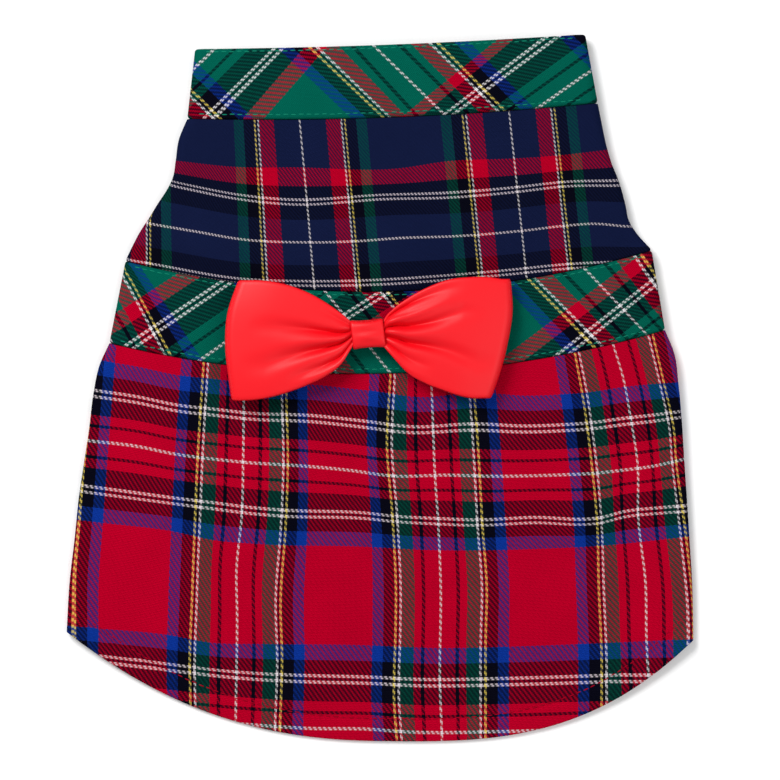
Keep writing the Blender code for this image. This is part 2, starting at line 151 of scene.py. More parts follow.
@dataclass(frozen=True)
class Seam:
    """A seam across the dress.

    Args:
        level: Y of the seam at the folds, in metres.
        width: from fold to fold.
        shift: X of its middle, as a share of its width.
        tilt: rise of the right fold over the middle, as a share of its width.
        dip: sag of the back layer's seam, as a share of its width.
        belly: sag of the under layer's seam.
        rise: height of the back layer over the floor in the middle.
        fold: the same at the folds.
    """

    level: float
    width: float
    shift: float
    tilt: float
    dip: float
    belly: float
    rise: float
    fold: float

    @property
    def middle(self) -> float:
        """X of the seam's middle."""
        return self.shift * self.width

    def height(self, x: np.ndarray, sag: float) -> np.ndarray:
        """Y of the seam at those X.

        Args:
            x: X positions.
            sag: the seam's dip or its belly.

        Returns:
            Y at each X.
        """
        across = np.clip((x - self.middle) / (self.width / 2), -1.0, 1.0)
        return self.level + self.width * (self.tilt * across - sag * (1 - across * across))


NECK_TOP = Seam(
    WHOLE_LENGTH / 2 - TILT_AT_NECK * NECK_TOP_WIDTH,
    NECK_TOP_WIDTH, 0.026, TILT_AT_NECK, 0.010, 0.030, NECK_RISE, NECK_FOLD,
)
NECK_SEAM = Seam(
    NECK_TOP.level - NECK_BAND_HEIGHT,
    NECK_SEAM_WIDTH, 0.0305, 0.019, 0.0174, 0.028, NECK_RISE, NECK_FOLD,
)
WAIST_TOP = Seam(
    NECK_SEAM.level - YOKE_SIDE,
    WAIST_TOP_WIDTH, 0.0163, 0.010, 0.0688, 0.0, WAIST_RISE, WAIST_FOLD,
)
WAIST_SEAM = Seam(
    WAIST_TOP.level - WAIST_BAND_HEIGHT,
    WAIST_SEAM_WIDTH, 0.013, 0.0118, 0.0665, 0.0, WAIST_RISE, WAIST_FOLD,
)
HEM = Seam(
    WAIST_SEAM.level - SKIRT_SIDE, HEM_WIDTH, 0.0, TILT_AT_HEM, 0.0, 0.0, 0.0, HEM_FOLD
)

# Outlines of the sides: shares of the way down, and of the way out to the lower width
STRAIGHT_OUTLINE = ((0.0, 0.0, 0.0), (1.0, 1.0, 1.0))
YOKE_OUTLINE = (
    (0.00, 0.00, 0.00),
    (0.15, 0.14, 0.08),
    (0.30, 0.19, 0.17),
    (0.42, 0.24, 0.27),
    (0.50, 0.33, 0.36),
    (0.60, 0.48, 0.45),
    (0.70, 0.62, 0.52),
    (0.80, 0.77, 0.58),
    (0.90, 0.89, 0.75),
    (1.00, 1.00, 1.00),
)
SKIRT_OUTLINE = (
    (0.00, 0.00, 0.00),
    (0.08, 0.24, 0.34),
    (0.17, 0.37, 0.47),
    (0.30, 0.48, 0.60),
    (0.42, 0.60, 0.68),
    (0.54, 0.72, 0.77),
    (0.67, 0.81, 0.86),
    (0.84, 0.94, 0.97),
    (1.00, 1.00, 1.00),
)

# How the skirt sinks to the floor: share down, share of the rise, share of the way at folds
SKIRT_LIE = (
    (0.00, 1.00, 0.00),
    (0.20, 0.90, 0.15),
    (0.40, 0.72, 0.35),
    (0.60, 0.49, 0.55),
    (0.80, 0.24, 0.78),
    (1.00, 0.00, 1.00),
)


@dataclass(frozen=True)
class Dent:
    """A soft dent or ridge in the cloth.

    Args:
        x: place in millimetres.
        y: place in millimetres.
        heading: direction of its length in degrees from +X.
        along: half its length in millimetres.
        across: half its width in millimetres.
        rise: its height in millimetres, negative for a dent.
    """

    x: float
    y: float
    heading: float
    along: float
    across: float
    rise: float


BACK_DENTS = (
    Dent(-57, 69, -12, 37, 4.8, -1.1),
    Dent(-68, 52, -14, 33, 6.6, 0.7),
    Dent(60, 62, 62, 22, 5.7, -0.7),
    Dent(22, 78, 8, 44, 6.2, 0.5),
    Dent(-32, -25, 84, 48, 6.6, 1.1),
    Dent(-51, -20, 96, 44, 6.2, -0.8),
    Dent(26, -32, 92, 53, 7.5, -0.7),
    Dent(68, -27, 99, 48, 7.0, 1.0),
    Dent(86, -33, 20, 11, 4.0, -0.7),
)

# Shares of the way out, then of half the bow's height: left up and down, right up and down
BOW_OUTLINE = (
    (0.00, 0.17, 0.17, 0.17, 0.17),
    (0.105, 0.18, 0.18, 0.18, 0.18),
    (0.135, 0.22, 0.27, 0.29, 0.25),
    (0.19, 0.32, 0.47, 0.42, 0.39),
    (0.30, 0.49, 0.68, 0.60, 0.64),
    (0.45, 0.67, 0.84, 0.78, 0.82),
    (0.60, 0.79, 0.96, 0.90, 0.93),
    (0.75, 0.86, 1.05, 0.94, 1.02),
    (0.90, 0.89, 1.10, 0.94, 1.07),
    (1.00, 0.89, 1.11, 0.91, 1.07),
)
BOW_ENDS = (
    (-1.0, 0.940, 0.841),
    (-0.6, 0.966, 0.905),
    (-0.1, 0.988, 0.962),
    (0.45, 0.972, 1.000),
    (1.0, 0.892, 0.987),
)
BOW_LIE = (
    (0.00, 0.00),
    (0.11, 0.00),
    (0.16, 0.42),
    (0.30, 0.70),
    (0.55, 0.95),
    (0.75, 1.00),
    (0.92, 0.80),
    (1.00, 0.66),
)


@dataclass(frozen=True)
class Pleat:
    """A gather that runs out of the bow's knot.

    Args:
        side: -1 for the left loop and 1 for the right one.
        near: place between the edges at the knot, from -1 below to 1 above.
        middle: the same half-way along.
        far: the same at its far end.
        end: share of the way out where it has faded.
        width: half its width at the far end, in millimetres.
        rise: its height in millimetres, negative for a crease.
    """

    side: int
    near: float
    middle: float
    far: float
    end: float
    width: float
    rise: float


PLEATS = (
    Pleat(-1, 0.26, 0.22, 0.22, 0.72, 2.6, -2.4),
    Pleat(-1, -0.10, -0.25, -0.43, 0.78, 3.2, -2.6),
    Pleat(-1, -0.62, -0.66, -0.72, 0.50, 1.8, -1.9),
    Pleat(-1, 0.08, -0.02, -0.10, 0.60, 2.0, 0.9),
    Pleat(-1, 0.66, 0.70, 0.72, 0.34, 1.6, -0.8),
    Pleat(-1, -0.92, -0.90, -0.88, 0.50, 1.1, 0.6),
    Pleat(1, 0.84, 0.82, 0.83, 0.58, 1.8, -1.9),
    Pleat(1, 0.42, 0.24, 0.42, 0.70, 2.4, -2.5),
    Pleat(1, -0.22, -0.22, -0.40, 0.84, 3.2, -2.5),
    Pleat(1, 0.60, 0.50, 0.62, 0.60, 1.7, 0.9),
    Pleat(1, 0.08, 0.02, 0.06, 0.60, 2.2, 0.9),
    Pleat(1, -0.62, -0.60, -0.62, 0.42, 1.6, -1.4),
    Pleat(1, -0.90, -0.88, -0.86, 0.45, 1.1, 0.5),
)


@dataclass(frozen=True)
class ThreadLine:
    """One thread of the cloth, followed over the dress.

    Args:
        count: how many threads it lies from a pivot of the sett.
        places: pairs in mm of how far along the dress it is seen, and where it lies across.
    """

    count: float
    places: tuple[tuple[float, float], ...]


# Skirt and yoke: warp threads as (Y, X) and weft threads as (X, Y). Bands: all as (Y, X).
SKIRT_WARP = (
    ThreadLine(-136, ((-71.4, -109.9), (-57.4, -108.5))),
    ThreadLine(-132, ((-80.8, -106.9), (-68.6, -106.9), (-47.9, -105.2))),
    ThreadLine(-38, (
        (-110.2, -66.5), (-96.2, -66.7), (-74.2, -65.8), (-49.7, -64.8), (-24.5, -63.7),
        (7.7, -61.6),
    )),
    ThreadLine(0, (
        (-109.2, -50.5), (-79.8, -50.0), (-63.0, -50.2), (-44.8, -48.3), (-24.5, -47.7),
        (-6.3, -47.5),
    )),
    ThreadLine(34, (
        (-117.9, -36.8), (-96.2, -36.0), (-74.2, -36.5), (-48.6, -34.6), (-24.1, -33.6),
        (-3.1, -34.1),
    )),
    ThreadLine(132, (
        (-123.2, 5.9), (-108.5, 4.9), (-86.8, 5.4), (-72.1, 5.6), (-45.5, 4.4), (-18.5, 2.4),
        (1.8, 3.5),
    )),
    ThreadLine(170, (
        (-121.8, 21.7), (-102.9, 21.0), (-69.6, 21.2), (-45.5, 20.2), (-29.4, 19.1),
        (-13.3, 18.5), (-0.3, 18.0),
    )),
    ThreadLine(204, (
        (-121.8, 35.3), (-86.8, 35.3), (-70.7, 35.7), (-47.9, 34.1), (-23.8, 32.8), (-3.5, 31.4),
    )),
    ThreadLine(302, (
        (-109.9, 77.7), (-96.2, 77.7), (-68.6, 76.5), (-47.6, 75.9), (-25.9, 73.8), (-4.5, 71.0),
        (12.6, 67.9),
    )),
    ThreadLine(340, (
        (-100.8, 94.1), (-88.2, 93.4), (-68.6, 93.0), (-44.8, 90.3), (-27.6, 90.2), (-9.8, 87.5),
        (3.5, 85.0), (15.0, 81.5),
    )),
    ThreadLine(374, (
        (-92.4, 107.8), (-79.8, 107.8), (-55.6, 105.7), (-39.5, 103.8), (-25.9, 102.2),
        (-13.3, 101.1), (-0.3, 98.3), (15.7, 94.5),
    )),
)

SKIRT_WEFT = (
    ThreadLine(-31, (
        (-100.1, -1.9), (-85.4, -4.0), (-70.7, -7.0), (-58.4, -8.4), (-45.1, -9.8),
        (-23.4, -10.7), (-5.6, -12.6), (10.5, -14.5), (32.9, -13.6), (51.1, -14.3),
        (64.8, -13.8), (72.8, -13.3), (85.0, -11.7), (95.9, -10.5), (105.0, -9.3),
    )),
    ThreadLine(0, (
        (-101.8, -18.5), (-85.4, -20.3), (-71.4, -23.1), (-58.4, -24.8), (-47.6, -25.9),
        (-28.0, -27.1), (-10.8, -28.7), (4.5, -30.7), (22.8, -30.4), (39.9, -30.8),
        (63.7, -30.3), (75.9, -29.7), (85.0, -28.7), (95.9, -27.3), (103.9, -25.5),
    )),
    ThreadLine(31, (
        (-102.5, -35.5), (-71.8, -39.5), (-58.4, -41.1), (-45.1, -42.8), (-31.5, -43.8),
        (-4.9, -44.6), (5.2, -45.7), (18.5, -46.5), (33.6, -47.1), (52.8, -46.2), (78.0, -46.2),
        (85.0, -44.3), (98.3, -42.9), (107.4, -42.3),
    )),
    ThreadLine(53, (
        (-97.3, -47.2), (-73.1, -50.0), (-58.1, -53.2), (-41.3, -54.6), (-8.8, -55.3),
        (21.0, -56.7), (52.5, -56.3), (80.5, -54.9), (107.4, -52.1),
    )),
    ThreadLine(119, (
        (-98.3, -84.3), (-74.9, -86.4), (-59.1, -89.2), (-41.3, -89.6), (-8.8, -89.9),
        (21.0, -91.0), (52.5, -90.3), (80.5, -89.2), (105.0, -88.2),
    )),
    ThreadLine(141, (
        (-98.3, -94.8), (-81.9, -96.8), (-66.8, -98.7), (-54.2, -100.1), (-38.5, -101.3),
        (-25.9, -101.8), (-2.8, -102.4), (14.0, -103.2), (41.6, -102.9), (61.6, -102.4),
        (84.0, -101.8), (94.8, -101.8),
    )),
    ThreadLine(172, (
        (-80.5, -114.8), (-42.0, -118.3), (-25.9, -119.3), (-2.4, -119.7), (6.3, -120.4),
        (44.8, -120.4), (77.0, -119.3),
    )),
)

YOKE_WARP = (
    ThreadLine(-190, ((44.1, -81.5), (93.1, -81.5))),
    ThreadLine(-167, ((44.1, -74.4), (63.3, -74.7), (93.1, -74.7))),
    ThreadLine(-71, ((34.3, -46.9), (83.3, -49.0), (93.1, -49.5))),
    ThreadLine(0, ((33.9, -22.8), (65.8, -25.5), (93.1, -28.0))),
    ThreadLine(71, ((33.9, -1.0), (93.1, -6.5))),
    ThreadLine(167, ((34.3, 28.9), (83.3, 24.0), (93.1, 23.0))),
    ThreadLine(238, ((39.2, 51.1), (96.9, 45.0))),
    ThreadLine(309, ((44.4, 72.6), (98.0, 66.7))),
)

YOKE_WEFT = (
    ThreadLine(-55, (
        (-71.4, 77.3), (-49.7, 74.4), (-28.3, 73.7), (7.0, 74.0), (23.8, 75.9), (47.2, 77.2),
        (73.5, 79.6),
    )),
    ThreadLine(-36, (
        (-72.8, 71.6), (-49.0, 66.7), (-31.5, 64.9), (1.8, 66.7), (23.8, 67.2), (47.2, 69.2),
        (64.0, 71.2), (83.3, 71.6),
    )),
    ThreadLine(0, (
        (-80.5, 57.4), (-64.4, 54.6), (-47.9, 51.8), (-28.0, 50.8), (-7.7, 51.2), (7.0, 52.3),
        (25.2, 52.9), (35.0, 53.5), (49.7, 54.9), (65.1, 56.7), (73.8, 57.4), (87.5, 56.3),
    )),
    ThreadLine(36, (
        (-80.5, 42.7), (-49.0, 37.4), (-28.0, 36.5), (1.8, 37.0), (23.8, 38.5), (47.2, 40.6),
        (64.0, 42.3), (83.3, 43.4),
    )),
)

NECK_WARP = (
    ThreadLine(-208, ((95.5, -102.5), (118.6, -125.6))),
    ThreadLine(-132, ((95.5, -57.0), (118.6, -80.1))),
    ThreadLine(-38, ((95.5, 0.0), (118.6, -24.2))),
    ThreadLine(-34, ((95.5, 2.4), (118.6, -21.5))),
    ThreadLine(-14.5, ((95.5, 12.2), (118.6, -8.8))),
    ThreadLine(0, ((95.5, 22.4), (118.6, -1.4))),
    ThreadLine(14.5, ((95.5, 31.1), (118.6, 7.9))),
    ThreadLine(34, ((95.5, 42.3), (118.6, 19.1))),
    ThreadLine(38, ((95.5, 44.8), (118.6, 22.0))),
    ThreadLine(136, ((95.5, 102.2), (118.6, 80.1))),
)

NECK_WEFT = (
    ThreadLine(-33, ((95.5, -105.3), (118.6, -82.2))),
    ThreadLine(0, ((95.5, -80.8), (118.6, -57.7))),
    ThreadLine(31, ((95.5, -58.8), (118.6, -35.3))),
    ThreadLine(43, ((95.5, -46.5), (118.6, -26.6))),
    ThreadLine(53, ((95.5, -39.2), (118.6, -18.9))),
    ThreadLine(119, ((95.5, 8.8), (118.6, 37.4))),
    ThreadLine(129, ((95.5, 15.4), (118.6, 42.7))),
    ThreadLine(141, ((95.5, 23.8), (118.6, 54.6))),
    ThreadLine(172, ((95.5, 51.8), (118.6, 84.3))),
    ThreadLine(203, ((95.5, 79.4), (118.6, 112.0))),
)

WAIST_WARP = (
    ThreadLine(-340, ((11.5, -91.0), (39.5, -106.8))),
    ThreadLine(-302, ((11.5, -73.1), (39.5, -87.8))),
    ThreadLine(-287.5, ((11.5, -65.5), (39.5, -84.0))),
    ThreadLine(-170, ((11.5, -1.4), (39.5, -23.8))),
    ThreadLine(-132, ((11.5, 20.3), (39.5, -2.1))),
    ThreadLine(-38, ((11.5, 77.3), (39.5, 50.2))),
    ThreadLine(-34, ((11.5, 80.8), (39.5, 52.8))),
    ThreadLine(0, ((11.5, 100.1), (39.5, 73.5))),
    ThreadLine(34, ((11.5, 112.0), (39.5, 93.4))),
)

WAIST_WEFT = (
    ThreadLine(-33, ((11.5, -93.8), (39.5, -51.8))),
    ThreadLine(-29, ((11.5, -89.6), (39.5, -47.9))),
    ThreadLine(0, ((11.5, -60.2), (39.5, -20.3))),
    ThreadLine(29, ((11.5, -35.0), (39.5, 9.4))),
    ThreadLine(33, ((11.5, -31.5), (39.5, 13.3))),
    ThreadLine(139, ((11.5, 61.6), (39.5, 97.3))),
    ThreadLine(143, ((11.5, 65.5), (39.5, 100.8))),
    ThreadLine(172, ((11.5, 88.9), (39.5, 124.2))),
)


# Half setts, from the pivot out: colour and number of threads
SKIRT_WARP_SETT = (
    ("white", 1), ("red", 12), ("black", 3), ("red", 6), ("bottle", 11), ("white", 2),
    ("black", 2), ("yellow", 2), ("black", 9), ("blue", 9), ("red", 28),
)
SKIRT_WEFT_SETT = (
    ("pale", 1), ("red", 8), ("black", 2), ("red", 6), ("black", 11), ("pale", 2),
    ("black", 2), ("pale", 2), ("black", 9), ("blue", 10), ("red", 33),
)
YOKE_WARP_SETT = (
    ("white", 1), ("navy", 29), ("red", 17), ("white", 2), ("black", 2), ("yellow", 2),
    ("black", 12), ("bottle", 12), ("navy", 42),
)
YOKE_WEFT_SETT = (
    ("pale", 1), ("navy", 19), ("black", 13), ("pale", 2), ("black", 2), ("pale", 2),
    ("black", 9), ("red", 14), ("navy", 46),
)
BAND_WARP_SETT = (
    ("white", 1), ("green", 12), ("black", 3), ("green", 6), ("red", 11), ("white", 2),
    ("black", 2), ("yellow", 2), ("black", 9), ("blue", 9), ("green", 28),
)
BAND_WEFT_SETT = (
    ("white", 1), ("green", 8), ("black", 2), ("green", 6), ("black", 11), ("white", 2),
    ("black", 2), ("white", 2), ("black", 9), ("red", 10), ("green", 33),
)

YARNS = {
    "red": (196, 1, 38),
    "blue": (14, 52, 150),
    "black": (10, 10, 22),
    "white": (252, 246, 250),
    "pale": (242, 226, 234),
    "yellow": (250, 222, 100),
    "green": (3, 94, 78),
    "bottle": (6, 82, 66),
    "navy": (20, 28, 62),
}


def dye(red: float, green: float, blue: float) -> tuple[float, float, float, float]:
    """A reflectance that shows as that colour under the scene's light.

    Args:
        red: red, from 0 to 255 as displayed.
        green: green.
        blue: blue.

    Returns:
        Linear colour with alpha.
    """
    linear = []
    for value in (red, green, blue):
        share = value / 255
        low = share / 12.92
        high = ((share + 0.055) / 1.055) ** 2.4
        linear.append((low if share <= 0.04045 else high) / EXPOSURE)
    return linear[0], linear[1], linear[2], 1.0


class Smooth:
    """A smooth curve through one column of a table whose first column runs along."""

    SAMPLES = 400

    def __init__(
        self, rows: Sequence[Sequence[float]], column: int = 1, carried: bool = False
    ) -> None:
        """Takes a table.

        Args:
            rows: its rows, each with a place along first.
            column: the column that holds the values.
            carried: True if it goes on past its ends at their slopes.
        """
        self.along = np.array([row[0] for row in rows], dtype=float)
        values = np.array([row[column] for row in rows], dtype=float)
        ends = ((values[1] - values[0]) / (self.along[1] - self.along[0]),
                (values[-1] - values[-2]) / (self.along[-1] - self.along[-2]))
        self.ends = ends if carried else (0.0, 0.0)
        slopes = np.gradient(values, self.along) if len(rows) > 2 else None
        self.dense = np.linspace(self.along[0], self.along[-1], self.SAMPLES)
        if slopes is None:
            self.values = np.interp(self.dense, self.along, values)
            return
        k = np.clip(np.searchsorted(self.along, self.dense, "right") - 1, 0, len(rows) - 2)
        span = self.along[k + 1] - self.along[k]
        t = (self.dense - self.along[k]) / span
        self.values = (
            (2 * t**3 - 3 * t**2 + 1) * values[k]
            + (t**3 - 2 * t**2 + t) * slopes[k] * span
            + (3 * t**2 - 2 * t**3) * values[k + 1]
            + (t**3 - t**2) * slopes[k + 1] * span
        )

    def __call__(self, at: np.ndarray) -> np.ndarray:
        """The curve's values.

        Args:
            at: places along the first column.

        Returns:
            Values there, held or carried on at both ends.
        """
        before = np.minimum(at - self.along[0], 0.0) * self.ends[0]
        after = np.maximum(at - self.along[-1], 0.0) * self.ends[1]
        return np.interp(at, self.dense, self.values) + before + after


def mix(a: Amount, b: Amount, share: Amount) -> Amount:
    """The value that share of the way from a to b.

    Args:
        a: first value or array.
        b: second value or array.
        share: share of the way.

    Returns:
        The mixed value or array.
    """
    return a + (b - a) * share


class Family:
    """One family of threads: tells which thread of the sett lies at a place."""

    def __init__(self, lines: Sequence[ThreadLine]) -> None:
        """Takes the lines, which may come in any order."""
        ordered = sorted(lines, key=lambda line: line.count)
        self.counts = np.array([line.count for line in ordered])
        self.curves = [Smooth(line.places, carried=True) for line in ordered]

    def count(self, along: np.ndarray, across: np.ndarray) -> np.ndarray:
        """Number of threads from the pivot at those places.

        Args:
            along: how far along the threads, in metres.
            across: where across them, in metres.

        Returns:
            The count across the sett.
        """
        places = np.array([curve(along / MM) for curve in self.curves])
        if places[0].mean() > places[-1].mean():
            places, across = -places, -across
        x = across / MM
        last = len(self.counts) - 2
        result = np.zeros_like(x)
        for k in range(last + 1):
            share = (x - places[k]) / (places[k + 1] - places[k])
            here = np.ones_like(x, dtype=bool)
            if k > 0:
                here &= x >= places[k]
            if k < last:
                here &= x < places[k + 1]
            value = mix(self.counts[k], self.counts[k + 1], share)
            result = np.where(here, value, result)
        return result


class Lay(Enum):
    """How a piece's threads run over the dress."""

    STRAIGHT = "straight"
    BIAS = "bias"


@dataclass
class Grain:
    """Fabric coordinates of a piece.

    Args:
        warp: lines of the warp threads.
        weft: lines of the weft threads.
        lay: straight pieces give their wefts across the dress, bias pieces do not.
    """

    warp: Family
    weft: Family
    lay: Lay

    def at(self, x: np.ndarray, y: np.ndarray) -> np.ndarray:
        """Fabric coordinates at those places.

        Args:
            x: X, carried on round the folds.
            y: Y.

        Returns:
            Warp and weft thread counts, in the last axis.
        """
        u = self.warp.count(y, x)
        v = self.weft.count(x, y) if self.lay is Lay.STRAIGHT else self.weft.count(y, x)
        return np.stack([u, v], axis=-1)


def dents_at(dents: Sequence[Dent], x: np.ndarray, y: np.ndarray) -> np.ndarray:
    """Height that the dents add at those places.

    Args:
        dents: the dents and ridges.
        x: X in metres.
        y: Y in metres.

    Returns:
        Heights in metres.
    """
    total = np.zeros_like(x)
    for dent in dents:
        turn = math.radians(dent.heading)
        dx = x / MM - dent.x
        dy = y / MM - dent.y
        along = (dx * math.cos(turn) + dy * math.sin(turn)) / dent.along
        across = (dy * math.cos(turn) - dx * math.sin(turn)) / dent.across
        total += dent.rise * MM * np.exp(-along * along - across * across)
    return total


class Place(Enum):
    """Where a column of a sheet runs."""

    BACK = "back"
    SIDE = "side"
    BELLY = "belly"


@dataclass(frozen=True)
class Column:
    """A column of a sheet, from its upper seam to its lower one.

    Args:
        place: on the back, round a side fold, or underneath.
        sign: -1 for the left fold and 1 for the right one.
        value: across the back from -1 to 1, round the fold from 0 to 1, or the distance
            in from the fold underneath.
    """

    place: Place
    sign: int
    value: float


def hem_height(x: np.ndarray) -> np.ndarray:
    """Y of the skirt's hem on the back.

    Args:
        x: X positions.

    Returns:
        Y at each X.
    """
    across = np.clip(x / (HEM.width / 2), -1.0, 1.0)
    power = np.where(across < 0, HEM_POWER_LEFT, HEM_POWER_RIGHT)
    return HEM.level + HEM.width * HEM.tilt * across - HEM_DROP * (1 - np.abs(across) ** power)


def flap_hem_height(x: np.ndarray, highest: np.ndarray) -> np.ndarray:
    """Y of the hem underneath, where it goes on rising from its corner and levels out.

    Args:
        x: X positions.
        highest: Y that it reaches at the flap's inner end.

    Returns:
        Y at each X.
    """
    inward = np.minimum(1.0, (HEM.width / 2 - np.abs(x)) / FLAP_REACH)
    first = math.sin(FLAP_START_ANGLE)
    turned = np.arcsin(np.clip(mix(first, 1.0, inward), -1, 1))
    rise = 1 - np.cos(turned) / math.cos(FLAP_START_ANGLE)
    return mix(hem_height(np.sign(x) * HEM.width / 2), highest, rise)


@dataclass
class Panel:
    """The space between two seams: where a sheet lies on each of its layers.

    Args:
        top: upper seam.
        bottom: lower seam.
        outline: rows of the side outlines.
        cloth: thickness.
        hangs: True for the skirt, whose lower edge is a free hem.
        dents: dents of the back layer.
    """

    top: Seam
    bottom: Seam
    outline: Sequence[Sequence[float]]
    cloth: float
    hangs: bool = False
    dents: Sequence[Dent] = BACK_DENTS
    left_out: Smooth = field(init=False)
    right_out: Smooth = field(init=False)

    def __post_init__(self) -> None:
        """Makes the curves of its sides and of the way that it lies."""
        self.left_out = Smooth(self.outline, 1)
        self.right_out = Smooth(self.outline, 2)
        self.lie = (Smooth(SKIRT_LIE, 1), Smooth(SKIRT_LIE, 2))

    def heights(self, down: np.ndarray) -> tuple[np.ndarray, np.ndarray]:
        """Heights of the back's middle plane.

        Args:
            down: shares of the way down.

        Returns:
            Heights in the middle and at the folds.
        """
        if self.hangs:
            middle = mix(FLANNEL / 2, self.top.rise, self.lie[0](down))
            return middle, mix(self.top.fold, self.bottom.fold, self.lie[1](down))
        return (
            mix(self.top.rise, self.bottom.rise, down),
            mix(self.top.fold, self.bottom.fold, down),
        )

    def fold(self, down: np.ndarray) -> tuple[np.ndarray, np.ndarray, np.ndarray]:
        """The side folds.

        Args:
            down: shares of the way down.

        Returns:
            Their radius, and X of the left and the right fold's centre.
        """
        radius = (self.heights(down)[1] - self.cloth / 2) / 2
        ends = []
        for sign, curve in ((-1, self.left_out), (1, self.right_out)):
            start = self.top.middle + sign * self.top.width / 2
            end = self.bottom.middle + sign * self.bottom.width / 2
            ends.append(mix(start, end, curve(down)))
        inset = self.cloth / 2 + radius
        return radius, ends[0] + inset, ends[1] - inset

    def ends(self, under: bool, first: float, last: float) -> tuple[float, float]:
        """Y of a column's two ends.

        Args:
            under: True on the under layer.
            first: X of its upper end.
            last: X of its lower end.

        Returns:
            Y of its upper and lower end, with the seam gap taken off.
        """
        top_sag = self.top.belly if under else self.top.dip
        start = float(self.top.height(np.array(first), top_sag)) - SEAM_GAP / 2
        if self.hangs and under:
            end = float(flap_hem_height(np.array(last), np.array(start - FLAP_LEAST)))
        elif self.hangs:
            end = float(hem_height(np.array(last)))
        else:
            sag = self.bottom.belly if under else self.bottom.dip
            end = float(self.bottom.height(np.array(last), sag)) + SEAM_GAP / 2
        return start, end

    def trace(self, column: Column, down: np.ndarray) -> tuple[np.ndarray, np.ndarray]:
        """Points of a column.

        Args:
            column: the column.
            down: shares of the way down.

        Returns:
            Points of the middle plane, and X carried on round the fold for the grain.
        """
        ends = np.array([0.0, 1.0])
        sign = column.sign
        radius, left, right = self.fold(down)
        radii, lefts, rights = self.fold(ends)
        edge, edges = (right, rights) if sign > 0 else (left, lefts)
        if column.place is Place.BACK:
            share = (column.value + 1) / 2
            x = mix(left, right, share)
            first, last = mix(lefts, rights, share)
            start, end = self.ends(False, first, last)
            y = mix(start, end, down)
            middle, fold = self.heights(down)
            power = np.where(middle < fold, SUNK_SHOULDER, RAISED_SHOULDER)
            z = mix(middle, fold, abs(column.value) ** power)
            soft = (1 - abs(column.value) ** 6) * np.minimum(1.0, middle / fold)
            z = z + soft * dents_at(self.dents, x, y)
            return np.stack([x, y, z], axis=-1), x
        if column.place is Place.SIDE:
            angle = math.pi * (0.5 - column.value)
            x = edge + sign * radius * math.cos(angle)
            first, last = edges + sign * radii * math.cos(angle)
            start, end = self.ends(column.value > 0.5, first, last)
            y = mix(start, end, down)
            z = self.cloth / 2 + radius + radius * math.sin(angle)
            return np.stack([x, y, z], axis=-1), edge + sign * radius * math.pi * column.value
        first, last = edges - sign * column.value
        start, end = self.ends(True, first, last)
        y = mix(start, end, down)
        corner = float(self.bottom.height(np.array(edges[1]), 0.0))
        share = np.clip((start - y) / (start - corner), 0, 1)
        radius, left, right = self.fold(share)
        edge = right if sign > 0 else left
        x = edge - sign * column.value
        z = np.full_like(x, self.cloth / 2)
        return np.stack([x, y, z], axis=-1), edge + sign * (radius * math.pi + column.value)


